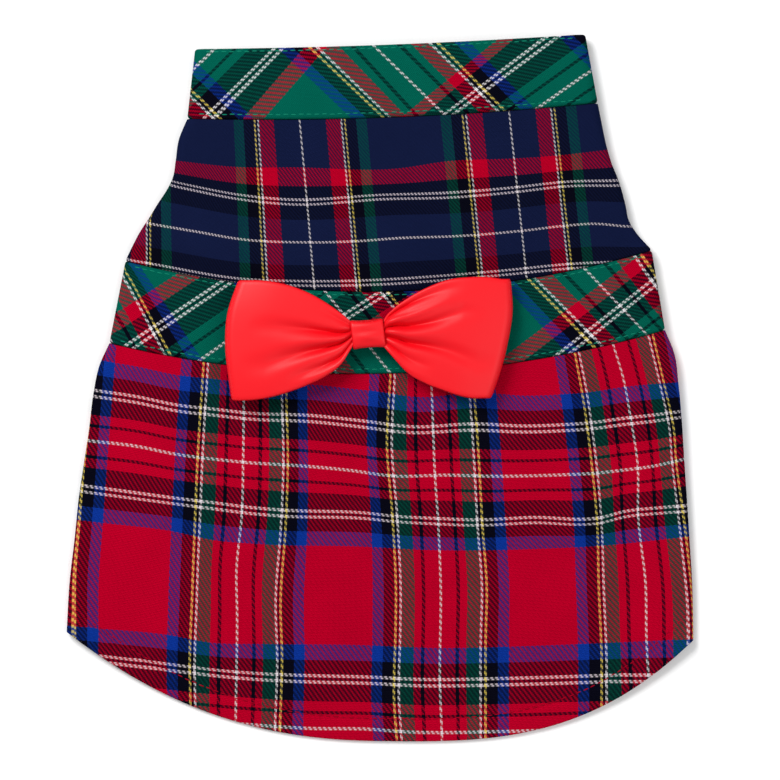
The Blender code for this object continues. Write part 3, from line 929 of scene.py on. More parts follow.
@dataclass
class Sheet:
    """A sheet of cloth as a grid of points with its thickness.

    Args:
        points: middle plane, columns by rows by three.
        grain: fabric coordinates, with one more column where the sheet is closed.
        half: half the thickness at each point, 0 where both skins meet.
        closed: True if the last column joins the first.
    """

    points: np.ndarray
    grain: np.ndarray
    half: np.ndarray
    closed: bool

    def normals(self) -> np.ndarray:
        """Unit normals that point out of the dress.

        Returns:
            One normal for each point.
        """
        if self.closed:
            over = np.roll(self.points, -1, axis=0) - np.roll(self.points, 1, axis=0)
        else:
            over = np.gradient(self.points, axis=0)
        down = np.gradient(self.points, axis=1)
        normal = np.cross(down, over)
        return normal / np.maximum(np.linalg.norm(normal, axis=-1, keepdims=True), 1e-12)

    def round_points(self) -> np.ndarray:
        """The points, with the first column again at the end where the sheet is closed."""
        if self.closed:
            return np.concatenate([self.points, self.points[:1]], axis=0)
        return self.points

    def area(self) -> float:
        """Area of the middle plane.

        Returns:
            Square metres.
        """
        points = self.round_points()
        a, b = points[:-1, :-1], points[1:, :-1]
        c, d = points[1:, 1:], points[:-1, 1:]
        cross = np.cross(c - a, d - b)
        return float(np.linalg.norm(cross, axis=-1).sum() / 2)

    def flat(self) -> tuple[float, float]:
        """The cut that the sheet fits in.

        Returns:
            Its longest way round and its longest way down.
        """
        points = self.round_points()
        around = np.linalg.norm(np.diff(points, axis=0), axis=-1).sum(axis=0).max()
        down = np.linalg.norm(np.diff(points, axis=1), axis=-1).sum(axis=1).max()
        return float(around), float(down)

    def build(self, name: str) -> bpy.types.Object:
        """Makes the mesh.

        Args:
            name: name of the piece.

        Returns:
            The object, with its UV map.
        """
        n, m = self.points.shape[:2]
        normals = self.normals()
        outer = self.points + normals * self.half[..., None]
        inner = self.points - normals * self.half[..., None]
        outer_index = np.arange(n * m).reshape(n, m)
        thick = self.half > 1e-7
        inner_index = outer_index.copy()
        inner_index[thick] = n * m + np.arange(int(thick.sum()))
        vertices = np.concatenate([outer.reshape(-1, 3), inner[thick]], axis=0)
        i = np.arange(n if self.closed else n - 1)[:, None]
        j = np.arange(m - 1)[None, :]
        far = (i + 1) % n

        def quads(index: np.ndarray, turned: bool) -> np.ndarray:
            """The grid's faces, turned or not, from the numbers of its points."""
            corners = [index[i, j], index[i, j + 1], index[far, j + 1], index[far, j]]
            corners = [np.broadcast_to(c, (len(i), m - 1)).reshape(-1) for c in corners]
            return np.stack(corners[::-1] if turned else corners, axis=-1)

        def coordinates(turned: bool) -> np.ndarray:
            """Fabric coordinates of the corners of those faces."""
            g = self.grain
            corners = [g[i, j], g[i, j + 1], g[i + 1, j + 1], g[i + 1, j]]
            corners = [np.broadcast_to(c, (len(i), m - 1, 2)).reshape(-1, 2) for c in corners]
            return np.stack(corners[::-1] if turned else corners, axis=1)

        faces = np.concatenate([quads(outer_index, False), quads(inner_index, True)])
        uv = np.concatenate([coordinates(False), coordinates(True)])
        mesh = bpy.data.meshes.new(name)
        mesh.from_pydata(vertices.tolist(), [], faces.tolist())
        layer = mesh.uv_layers.new(name="fabric")
        layer.data.foreach_set("uv", uv.reshape(-1).astype(np.float32))
        mesh.shade_smooth()
        mesh.update()
        piece = bpy.data.objects.new(name, mesh)
        bpy.context.scene.collection.objects.link(piece)
        LOG.info("%s: %d faces, %.1f cm2", name, len(faces), self.area() * 1e4)
        return piece


def edge_rows(length: float, cell: float, cloth: float) -> tuple[np.ndarray, np.ndarray]:
    """Rows down a sheet, closer where its edges are rounded.

    Args:
        length: length of the sheet.
        cell: size of its cells.
        cloth: its thickness.

    Returns:
        Shares of the way down, and half the thickness at each.
    """
    radius = cloth / 2
    turns = np.linspace(0, math.pi / 2, 6)
    near = radius * (1 - np.cos(turns))
    rim = radius * np.sin(turns)
    count = max(3, int(round((length - 2 * radius) / cell)))
    middle = np.linspace(radius, length - radius, count + 1)[1:-1]
    places = np.concatenate([near, middle, length - near[::-1]])
    half = np.concatenate([rim, np.full(len(middle), radius), rim[::-1]])
    return places / length, half


class Tool:
    """Small helpers for shader node trees."""

    def __init__(self, tree: bpy.types.NodeTree) -> None:
        """Takes the tree to work in."""
        self.tree = tree

    def node(self, kind: str, **settings: object) -> bpy.types.Node:
        """Adds a node.

        Args:
            kind: type of the node.
            settings: attributes to set on it.

        Returns:
            The node.
        """
        made = self.tree.nodes.new(kind)
        for key, value in settings.items():
            setattr(made, key, value)
        return made

    def put(self, target: bpy.types.NodeSocket, value: Feed) -> None:
        """Links a socket to an input, or writes a value into it.

        Args:
            target: the input.
            value: an output socket or a value.
        """
        if isinstance(value, bpy.types.NodeSocket):
            self.tree.links.new(value, target)
        else:
            target.default_value = value

    def math(self, operation: str, *values: Feed) -> bpy.types.NodeSocket:
        """A maths node.

        Args:
            operation: what it works out.
            values: its inputs.

        Returns:
            Its output.
        """
        made = self.node("ShaderNodeMath", operation=operation)
        for target, value in zip(made.inputs, values):
            self.put(target, value)
        return made.outputs[0]

    def blend(self, kind: str, share: Feed, a: Feed, b: Feed) -> bpy.types.NodeSocket:
        """A mix of two colours.

        Args:
            kind: how they mix.
            share: share of the second.
            a: first colour.
            b: second colour.

        Returns:
            The mixed colour.
        """
        made = self.node("ShaderNodeMix", data_type="RGBA", blend_type=kind)
        self.put(made.inputs[0], share)
        self.put(made.inputs[6], a)
        self.put(made.inputs[7], b)
        return made.outputs[2]

    def noise(
        self, vector: Feed, scale: float, detail: float = 2.0
    ) -> bpy.types.NodeSocket:
        """A noise.

        Args:
            vector: where it is read.
            scale: how fine it is.
            detail: its octaves.

        Returns:
            Its value, from 0 to 1.
        """
        made = self.node("ShaderNodeTexNoise")
        self.put(made.inputs["Vector"], vector)
        self.put(made.inputs["Scale"], scale)
        self.put(made.inputs["Detail"], detail)
        return made.outputs["Fac"]


def new_finish(name: str) -> tuple[bpy.types.Material, Tool, bpy.types.Node]:
    """Starts a material.

    Args:
        name: its name.

    Returns:
        The material, a tool for its nodes and its shader.
    """
    made = bpy.data.materials.new(name)
    made.use_nodes = True
    return made, Tool(made.node_tree), made.node_tree.nodes["Principled BSDF"]


def new_group(
    name: str, takes: dict[str, str], gives: dict[str, str]
) -> tuple[bpy.types.NodeTree, Tool, bpy.types.Node, bpy.types.Node]:
    """An empty shader node group.

    Args:
        name: name of the group.
        takes: its inputs and their socket types.
        gives: its outputs and their socket types.

    Returns:
        The group, a tool for it, its input node and its output node.
    """
    tree = bpy.data.node_groups.new(name, "ShaderNodeTree")
    for label, kind in takes.items():
        tree.interface.new_socket(label, in_out="INPUT", socket_type=kind)
    for label, kind in gives.items():
        tree.interface.new_socket(label, in_out="OUTPUT", socket_type=kind)
    tool = Tool(tree)
    return tree, tool, tool.node("NodeGroupInput"), tool.node("NodeGroupOutput")


NUMBER = "NodeSocketFloat"
COLOUR = "NodeSocketColor"
VECTOR = "NodeSocketVector"


def twill_group() -> bpy.types.NodeTree:
    """The 2/2 twill: which yarn shows, which thread it is, and how high it stands.

    Returns:
        The node group.
    """
    tree, tool, take, give = new_group(
        "TwillWeave",
        {"Warp": NUMBER, "Weft": NUMBER, "Lean": NUMBER},
        {"Warp Shows": NUMBER, "Warp Thread": NUMBER, "Weft Thread": NUMBER, "Height": NUMBER},
    )
    a = take.outputs["Warp"]
    b = take.outputs["Weft"]
    i = tool.math("FLOOR", a)
    j = tool.math("FLOOR", b)
    step = tool.math("ADD", i, tool.math("MULTIPLY", j, take.outputs["Lean"]))
    phase = tool.math("FLOORED_MODULO", tool.math("ADD", step, 0.25), 4.0)
    shows = tool.math("LESS_THAN", phase, 2.0)
    heights = []
    for place in (a, b):
        off = tool.math("SUBTRACT", tool.math("FRACT", place), 0.5)
        square = tool.math("MULTIPLY", off, off)
        heights.append(tool.math("SUBTRACT", 1.0, tool.math("MULTIPLY", square, 4.0)))
    over = tool.math("MULTIPLY", heights[0], shows)
    under = tool.math("MULTIPLY", heights[1], tool.math("SUBTRACT", 1.0, shows))
    tool.put(give.inputs["Warp Shows"], shows)
    tool.put(give.inputs["Warp Thread"], tool.math("ADD", i, 0.5))
    tool.put(give.inputs["Weft Thread"], tool.math("ADD", j, 0.5))
    tool.put(give.inputs["Height"], tool.math("ADD", over, under))
    return tree


# The most light that comes back from a yarn lying under another
DEEPEST_SEEN = (0.22, 0.22, 0.22, 1.0)


def nap_and_shade_group() -> bpy.types.NodeTree:
    """The flannel's nap: blurs neighbouring yarns into each other and roughens the surface; it
    also paints shade into the weave's valleys and onto the yarn seen under the nap.

    Returns:
        The node group.
    """
    tree, tool, take, give = new_group(
        "FlannelNapAndShade",
        {"Fabric": VECTOR, "Yarn": COLOUR, "Other Yarn": COLOUR, "Height": NUMBER,
         "Nap": NUMBER},
        {"Base Color": COLOUR, "Height": NUMBER},
    )
    fine = tool.noise(take.outputs["Fabric"], 5200.0, 2.0)
    soft = tool.noise(take.outputs["Fabric"], 900.0, 3.0)
    broad = tool.noise(take.outputs["Fabric"], 60.0, 2.0)
    share = tool.math("MULTIPLY", take.outputs["Nap"], tool.math("ADD", soft, 0.5))
    veiled = tool.blend("DARKEN", share, take.outputs["Yarn"], take.outputs["Other Yarn"])
    strand = tool.math("MULTIPLY", take.outputs["Nap"], fine)
    # Painted shade: the other yarn, capped at DEEPEST_SEEN as a yarn lying under another, which
    # the nap's fine strands mix in.
    below = tool.blend("DARKEN", 1.0, take.outputs["Other Yarn"], DEEPEST_SEEN)
    blurred = tool.blend("MIX", strand, veiled, below)
    # Painted shade: darker where the twill's yarns lie low, in the weave's valleys.
    painted_valley_shade = tool.math("ADD", 0.62, tool.math("MULTIPLY", take.outputs["Height"], 0.42))
    speck = tool.math("ADD", 0.80, tool.math("MULTIPLY", fine, 0.40))
    cloud = tool.math("ADD", 0.90, tool.math("MULTIPLY", broad, 0.20))
    # Painted valley shade, times random specks and clouds of tone.
    painted_shade_and_tone = tool.math("MULTIPLY", tool.math("MULTIPLY", painted_valley_shade, speck), cloud)
    grey = tool.node("ShaderNodeCombineColor")
    for target in grey.inputs:
        tool.put(target, painted_shade_and_tone)
    tool.put(give.inputs["Base Color"], tool.blend("MULTIPLY", 1.0, blurred, grey.outputs[0]))
    fuzz = tool.math("ADD", tool.math("MULTIPLY", fine, 0.5), tool.math("MULTIPLY", soft, 0.9))
    tool.put(give.inputs["Height"], tool.math("ADD", take.outputs["Height"], fuzz))
    return tree


def sett_group(name: str, stripes: Sequence[tuple[str, int]]) -> bpy.types.NodeTree:
    """The colours of one family of threads, mirrored about each pivot.

    Args:
        name: name of the group.
        stripes: colour and threads of each stripe of the half sett, from the pivot out.

    Returns:
        The node group.
    """
    tree, tool, take, give = new_group(name, {"Thread": NUMBER}, {"Yarn": COLOUR})
    half = sum(threads for _, threads in stripes)
    place = tool.math("PINGPONG", take.outputs["Thread"], half)
    ramp = tool.node("ShaderNodeValToRGB")
    tool.put(ramp.inputs["Fac"], tool.math("DIVIDE", place, half))
    ramp.color_ramp.interpolation = "CONSTANT"
    edge = 0
    for index, (colour, threads) in enumerate(stripes):
        at = edge / half
        if index == 0:
            stop = ramp.color_ramp.elements[0]
            stop.position = 0.0
        elif index == 1:
            stop = ramp.color_ramp.elements[1]
            stop.position = at
        else:
            stop = ramp.color_ramp.elements.new(at)
        stop.color = dye(*YARNS[colour])
        edge += threads
    tool.put(give.inputs["Yarn"], ramp.outputs["Color"])
    return tree


@dataclass(frozen=True)
class Tartan:
    """A tartan flannel.

    Args:
        name: name of the finish.
        warp: half sett of the warp.
        weft: half sett of the weft.
        warp_pitch: distance between warp threads.
        weft_pitch: distance between weft threads.
        lean: -1 or 1, the way that the twill climbs.
        nap: how far the nap blurs the yarns, and how much painted shade of the yarn lying
            underneath shows through it.
        relief: height of the bump in metres.
    """

    name: str
    warp: Sequence[tuple[str, int]]
    weft: Sequence[tuple[str, int]]
    warp_pitch: float
    weft_pitch: float
    lean: float = 1.0
    nap: float = 0.38
    relief: float = 0.00012

    def material(self, groups: dict[str, bpy.types.NodeTree]) -> bpy.types.Material:
        """Makes the material.

        Args:
            groups: the shared node groups.

        Returns:
            The material.
        """
        made, tool, shader = new_finish(self.name)
        shader.inputs["Roughness"].default_value = 0.92
        shader.inputs["Specular IOR Level"].default_value = 0.0
        fabric = tool.node("ShaderNodeUVMap", uv_map="fabric")
        parts = tool.node("ShaderNodeSeparateXYZ")
        tool.put(parts.inputs[0], fabric.outputs[0])
        twill = tool.node("ShaderNodeGroup", node_tree=groups["twill"])
        tool.put(twill.inputs["Warp"], parts.outputs["X"])
        tool.put(twill.inputs["Weft"], parts.outputs["Y"])
        tool.put(twill.inputs["Lean"], self.lean)
        yarns = []
        for label, stripes in (("Warp", self.warp), ("Weft", self.weft)):
            sett = tool.node("ShaderNodeGroup")
            sett.node_tree = sett_group(f"{self.name} {label} Sett", stripes)
            tool.put(sett.inputs["Thread"], twill.outputs[f"{label} Thread"])
            yarns.append(sett.outputs["Yarn"])
        shows = twill.outputs["Warp Shows"]
        # The nap group also paints shade into the weave's valleys and onto the yarn lying
        # underneath.
        nap = tool.node("ShaderNodeGroup", node_tree=groups["nap"])
        spread = tool.node("ShaderNodeVectorMath", operation="MULTIPLY")
        tool.put(spread.inputs[0], fabric.outputs[0])
        spread.inputs[1].default_value = (self.warp_pitch, self.weft_pitch, 0.0)
        tool.put(nap.inputs["Fabric"], spread.outputs[0])
        tool.put(nap.inputs["Yarn"], tool.blend("MIX", shows, yarns[1], yarns[0]))
        tool.put(nap.inputs["Other Yarn"], tool.blend("MIX", shows, yarns[0], yarns[1]))
        tool.put(nap.inputs["Height"], twill.outputs["Height"])
        tool.put(nap.inputs["Nap"], self.nap)
        tool.put(shader.inputs["Base Color"], nap.outputs["Base Color"])
        bump = tool.node("ShaderNodeBump")
        bump.inputs["Distance"].default_value = self.relief
        tool.put(bump.inputs["Height"], nap.outputs["Height"])
        tool.put(shader.inputs["Normal"], bump.outputs["Normal"])
        return made


@dataclass(frozen=True)
class Plain:
    """A plain finish for satin, thread and the floor.

    Args:
        name: name of the finish.
        colour: displayed colour.
        roughness: its roughness.
        gloss: its specular level.
        grain: scale of its fine bump, 0 for none.
        relief: height of that bump in metres.
    """

    name: str
    colour: tuple[int, int, int]
    roughness: float
    gloss: float = 0.0
    grain: float = 0.0
    relief: float = 0.0

    def material(self) -> bpy.types.Material:
        """Makes the material.

        Returns:
            The material.
        """
        made, tool, shader = new_finish(self.name)
        shader.inputs["Base Color"].default_value = dye(*self.colour)
        shader.inputs["Roughness"].default_value = self.roughness
        shader.inputs["Specular IOR Level"].default_value = self.gloss
        if self.grain:
            place = tool.node("ShaderNodeTexCoord")
            bump = tool.node("ShaderNodeBump")
            bump.inputs["Distance"].default_value = self.relief
            tool.put(bump.inputs["Height"], tool.noise(place.outputs["Object"], self.grain))
            tool.put(shader.inputs["Normal"], bump.outputs["Normal"])
        return made


def across_back(cells: int) -> list[Column]:
    """Columns across the back, from its left fold to its right one.

    Args:
        cells: number of cells between them.

    Returns:
        The columns.
    """
    return [Column(Place.BACK, 1, 2 * k / cells - 1) for k in range(cells + 1)]


def wrap(width: float, reach: float, cell: float) -> list[Column]:
    """Columns of a sheet that wraps round both folds and ends underneath.

    Args:
        width: width of the back, to space its columns.
        reach: how far in each end lies underneath, from the fold.
        cell: spacing.

    Returns:
        Columns from the left end to the right one.
    """
    tail = max(3, int(reach / cell))
    back = int(width / cell)
    inwards = [reach * k / tail for k in range(tail, 0, -1)]
    columns = [Column(Place.BELLY, -1, value) for value in inwards]
    columns += [Column(Place.SIDE, -1, 1 - k / FOLD_CELLS) for k in range(FOLD_CELLS)]
    columns += across_back(back)
    columns += [Column(Place.SIDE, 1, (k + 1) / FOLD_CELLS) for k in range(FOLD_CELLS)]
    columns += [Column(Place.BELLY, 1, value) for value in reversed(inwards)]
    return columns


def columns_of(panel: Panel, columns: Sequence[Column], down: np.ndarray) -> Traced:
    """Traces columns into a grid.

    Args:
        panel: the panel that they lie in.
        columns: the columns.
        down: shares of the way down.

    Returns:
        Points, and X carried on round the folds.
    """
    traced = [panel.trace(column, down) for column in columns]
    return np.stack([t[0] for t in traced]), np.stack([t[1] for t in traced])


def ring(panel: Panel, cell: float, down: np.ndarray) -> Traced:
    """Traces a closed tube.

    Args:
        panel: the panel.
        cell: spacing of the columns.
        down: shares of the way down.

    Returns:
        Points, and X carried on round the right fold as far as the left one.
    """
    back = int(panel.top.width / cell)
    columns = across_back(back)
    columns += [Column(Place.SIDE, 1, (k + 1) / FOLD_CELLS) for k in range(FOLD_CELLS)]
    points, carried = columns_of(panel, columns, down)
    radius, left, right = panel.fold(down)
    _, lefts, rights = panel.fold(np.array([0.0, 1.0]))
    under = []
    travel = []
    for k in range(1, back):
        inward = (right - left) * k / back
        x = right - inward
        top_x, low_x = rights - (rights - lefts) * k / back
        y = mix(*panel.ends(True, top_x, low_x), down)
        under.append(np.stack([x, y, np.full_like(x, panel.cloth / 2)], axis=-1))
        travel.append(right + radius * math.pi + inward)
    others = [Column(Place.SIDE, -1, 1 - k / FOLD_CELLS) for k in range(FOLD_CELLS)]
    left_points, left_carried = columns_of(panel, others, down)
    points = np.concatenate([points, np.stack(under), left_points])
    carried = np.concatenate([carried, np.stack(travel), left_carried, left[None, :]])
    return points, carried


class Sewing:
    """Rows of topstitches, gathered into one mesh."""

    RINGS = (-0.5, -0.42, -0.2, 0.2, 0.42, 0.5)
    SIZES = (0.25, 0.75, 1.0, 1.0, 0.75, 0.25)
    SIDES = 6

    def __init__(self, name: str, width: float = STITCH_WIDTH) -> None:
        """Starts with no stitches.

        Args:
            name: name of the piece.
            width: how wide its thread is.
        """
        self.name = name
        self.width = width
        self.vertices: list[np.ndarray] = []
        self.faces: list[tuple[int, ...]] = []

    def row(self, path: np.ndarray, normals: np.ndarray, lift: float = 0.0) -> None:
        """Adds a row of stitches along a path on the cloth.

        Args:
            path: points of the path.
            normals: normals of the cloth there.
            lift: how far the thread's middle lies over the path.
        """
        steps = np.linalg.norm(np.diff(path, axis=0), axis=1)
        run = np.concatenate([[0.0], np.cumsum(steps)])
        count = int(run[-1] / STITCH_PITCH)
        for k in range(count):
            middle = (k + 0.5) * STITCH_PITCH
            here = np.array([np.interp(middle, run, path[:, a]) for a in range(3)])
            ahead = np.array([np.interp(middle + 0.0004, run, path[:, a]) for a in range(3)])
            up = np.array([np.interp(middle, run, normals[:, a]) for a in range(3)])
            along = ahead - here
            along /= np.linalg.norm(along)
            up /= np.linalg.norm(up)
            side = np.cross(along, up)
            wobble = 0.00007 * math.sin(k * 2.7) + 0.00004 * math.sin(k * 7.1)
            self.stitch(here + up * lift + side * wobble, along, up, side)

    def stitch(
        self, middle: np.ndarray, along: np.ndarray, up: np.ndarray, side: np.ndarray
    ) -> None:
        """Adds one stitch.

        Args:
            middle: its middle.
            along: direction of the thread.
            up: direction out of the cloth.
            side: direction across.
        """
        base = sum(len(v) for v in self.vertices)
        points = []
        for ring_at, size in zip(self.RINGS, self.SIZES):
            sunk = -abs(ring_at * 2) ** 3 * self.width * 0.55
            centre = middle + along * ring_at * STITCH_LENGTH + up * sunk
            for k in range(self.SIDES):
                angle = 2 * math.pi * k / self.SIDES
                out = side * math.cos(angle) + up * math.sin(angle) * 0.8
                points.append(centre + out * size * self.width / 2)
        self.vertices.append(np.array(points))
        rings = len(self.RINGS)
        for r in range(rings - 1):
            for k in range(self.SIDES):
                a = base + r * self.SIDES + k
                b = base + r * self.SIDES + (k + 1) % self.SIDES
                self.faces.append((a, b, b + self.SIDES, a + self.SIDES))
        self.faces.append(tuple(base + k for k in reversed(range(self.SIDES))))
        top = base + (rings - 1) * self.SIDES
        self.faces.append(tuple(top + k for k in range(self.SIDES)))

    def build(self, material: bpy.types.Material) -> bpy.types.Object:
        """Makes the mesh.

        Args:
            material: the thread's finish.

        Returns:
            The object.
        """
        mesh = bpy.data.meshes.new(self.name)
        mesh.from_pydata(np.concatenate(self.vertices).tolist(), [], self.faces)
        mesh.shade_smooth()
        piece = bpy.data.objects.new(self.name, mesh)
        bpy.context.scene.collection.objects.link(piece)
        piece.data.materials.append(material)
        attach(piece, "root")
        LOG.info("%s: %d stitches", self.name, len(self.vertices))
        return piece


@dataclass
class Finishes:
    """The materials that the dress shares."""

    red: bpy.types.Material
    navy: bpy.types.Material
    green: bpy.types.Material
    satin: bpy.types.Material
    red_thread: bpy.types.Material
    green_thread: bpy.types.Material

    @classmethod
    def make(cls) -> "Finishes":
        """Makes them all.

        Returns:
            The finishes.
        """
        groups = {"twill": twill_group(), "nap": nap_and_shade_group()}
        return cls(
            red=RED_TARTAN.material(groups),
            navy=NAVY_TARTAN.material(groups),
            green=GREEN_TARTAN.material(groups),
            satin=SATIN_FINISH.material(),
            red_thread=RED_THREAD.material(),
            green_thread=GREEN_THREAD.material(),
        )


RED_TARTAN = Tartan(
    "red_tartan", SKIRT_WARP_SETT, SKIRT_WEFT_SETT, 0.42 * MM, 0.525 * MM, lean=-1.0
)
NAVY_TARTAN = Tartan(
    "navy_tartan", YOKE_WARP_SETT, YOKE_WEFT_SETT, 0.31 * MM, 0.406 * MM, lean=-1.0
)
GREEN_TARTAN = Tartan(
    "green_tartan", BAND_WARP_SETT, BAND_WEFT_SETT, 0.42 * MM, 0.525 * MM, lean=-1.0
)
SATIN_FINISH = Plain("scarlet_satin", (232, 8, 24), 0.42, 0.26, 2600.0, 0.00002)
RED_THREAD = Plain("red_thread", (150, 6, 32), 0.7)
GREEN_THREAD = Plain("green_thread", (22, 122, 98), 0.7)


@dataclass
class Band:
    """A bias-cut band that goes all the way round.

    Args:
        node: its CAD node.
        panel: the space that it fills.
        grain: how its threads run.
        cell: spacing of its grid.
    """

    node: str
    panel: Panel
    grain: Grain
    cell: float = 0.0008

    def build(self) -> bpy.types.Object:
        """Builds the band.

        Returns:
            The object.
        """
        length = self.panel.top.level - self.panel.bottom.level
        down, rim = edge_rows(length, self.cell, self.panel.cloth)
        points, carried = ring(self.panel, self.cell, down)
        height = np.concatenate([points[..., 1], points[:1, :, 1]])
        fabric = self.grain.at(carried, height)
        half = np.broadcast_to(rim, points.shape[:2]).copy()
        self.sheet = Sheet(points, fabric, half, True)
        self.piece = self.sheet.build(f"{self.node}_cloth")
        return self.piece

    def stitch_path(self, share: float) -> tuple[np.ndarray, np.ndarray]:
        """A line across the back of the band.

        Args:
            share: how far down the band it runs.

        Returns:
            Its points on the surface, and their normals.
        """
        columns = across_back(300)
        down = np.array([max(share - 0.01, 0), share, min(share + 0.01, 1)])
        points, _ = columns_of(self.panel, columns, down)
        over = np.gradient(points, axis=0)[:, 1]
        along = points[:, 2] - points[:, 0]
        normals = np.cross(along, over)
        normals /= np.linalg.norm(normals, axis=-1, keepdims=True)
        return points[:, 1] + normals * self.panel.cloth / 2, normals

    def dress(self, finishes: Finishes) -> None:
        """Finishes the band and topstitches it.

        Args:
            finishes: the materials.
        """
        self.piece.data.materials.append(finishes.green)
        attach(self.piece, "root")
        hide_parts(self.node)
        sewing = Sewing(f"{self.node}_stitches")
        height = self.panel.top.level - self.panel.bottom.level
        for share in (TOPSTITCH_IN / height, 1 - LOWSTITCH_IN / height):
            sewing.row(*self.stitch_path(share), lift=0.00002)
        self.stitches = sewing.build(finishes.green_thread)
        self.sheet.flat()
        self.sheet.area()


def leg_hole(panel: Panel, sign: int) -> bpy.types.Object:
    """A cutter for a front leg hole, through the under layer.

    Args:
        panel: the yoke's panel.
        sign: -1 for the left one and 1 for the right one.

    Returns:
        The cutter.
    """
    radius = float(panel.fold(np.array([0.5]))[0][0])
    column = Column(Place.BELLY, sign, LEG_HOLE_IN + LEG_HOLE_WIDTH / 2 - radius)
    place = panel.trace(column, np.array([0.5]))[0][0]
    bpy.ops.mesh.primitive_cylinder_add(
        vertices=72, radius=0.5, depth=1.0, location=(place[0], place[1], 0.0)
    )
    cutter = bpy.context.object
    cutter.scale = (LEG_HOLE_WIDTH, LEG_HOLE_LENGTH, 2 * (FLANNEL + BAND_CLOTH))
    return cutter


def cut_holes(piece: bpy.types.Object, cutters: Sequence[bpy.types.Object]) -> None:
    """Cuts the leg holes out of a piece.

    Args:
        piece: the piece.
        cutters: the cutters.
    """
    bpy.context.view_layer.objects.active = piece
    for cutter in cutters:
        boolean = piece.modifiers.new("leg_hole", "BOOLEAN")
        boolean.operation = "DIFFERENCE"
        boolean.solver = "EXACT"
        boolean.object = cutter
        bpy.ops.object.modifier_apply(modifier=boolean.name)


@dataclass
class Yoke:
    """The navy back panel, which wraps round both folds, and the chest panel under it.

    Args:
        panel: the space that they fill.
        grain: how their threads run.
        cell: spacing of their grids.
    """

    panel: Panel
    grain: Grain
    cell: float = 0.0009

    def build(self) -> None:
        """Builds both pieces and cuts the leg holes."""
        length = self.panel.top.level - self.panel.bottom.level
        down, rim = edge_rows(length, self.cell, self.panel.cloth)
        columns = wrap(self.panel.top.width, SIDE_SEAM_IN - SEAM_SPLIT, self.cell)
        points, carried = columns_of(self.panel, columns, down)
        half = np.broadcast_to(rim, points.shape[:2]).copy()
        half[0] = half[-1] = 0.0
        self.back_sheet = Sheet(points, self.grain.at(carried, points[..., 1]), half, False)
        self.back = self.back_sheet.build("yoke_cloth")
        self.chest_sheet = self.chest(down, rim)
        self.front = self.chest_sheet.build("chest_panel_cloth")
        cutters = [leg_hole(self.panel, sign) for sign in (-1, 1)]
        for piece in (self.back, self.front):
            cut_holes(piece, cutters)
        for cutter in cutters:
            bpy.data.objects.remove(cutter, do_unlink=True)

    def chest(self, down: np.ndarray, rim: np.ndarray) -> Sheet:
        """The chest panel between the side seams.

        Args:
            down: shares of the way down.
            rim: half the thickness at each.

        Returns:
            The sheet.
        """
        inward = SIDE_SEAM_IN + SEAM_SPLIT
        ends = np.array([0.0, 1.0])
        left = self.panel.trace(Column(Place.BELLY, -1, inward), down)[0]
        right = self.panel.trace(Column(Place.BELLY, 1, inward), down)[0]
        first = self.panel.trace(Column(Place.BELLY, -1, inward), ends)[0]
        last = self.panel.trace(Column(Place.BELLY, 1, inward), ends)[0]
        grid = []
        count = 110
        for k in range(count + 1):
            share = k / count
            start, end = self.panel.ends(True, *mix(first[:, 0], last[:, 0], share))
            x = mix(left[:, 0], right[:, 0], share)
            y = mix(start, end, down)
            grid.append(np.stack([x, y, np.full_like(x, self.panel.cloth / 2)], axis=-1))
        points = np.stack(grid)[::-1]
        half = np.broadcast_to(rim, points.shape[:2]).copy()
        half[0] = half[-1] = 0.0
        return Sheet(points, self.grain.at(points[..., 0], points[..., 1]), half, False)

    def dress(self, finishes: Finishes) -> None:
        """Finishes both pieces.

        Args:
            finishes: the materials.
        """
        hole = math.pi * LEG_HOLE_WIDTH * LEG_HOLE_LENGTH / 4
        for piece, sheet, node in (
            (self.back, self.back_sheet, "yoke"),
            (self.front, self.chest_sheet, "chest_panel"),
        ):
            piece.data.materials.append(finishes.navy)
            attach(piece, "root")
            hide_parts(node)
            sheet.flat()
            sheet.area() - hole


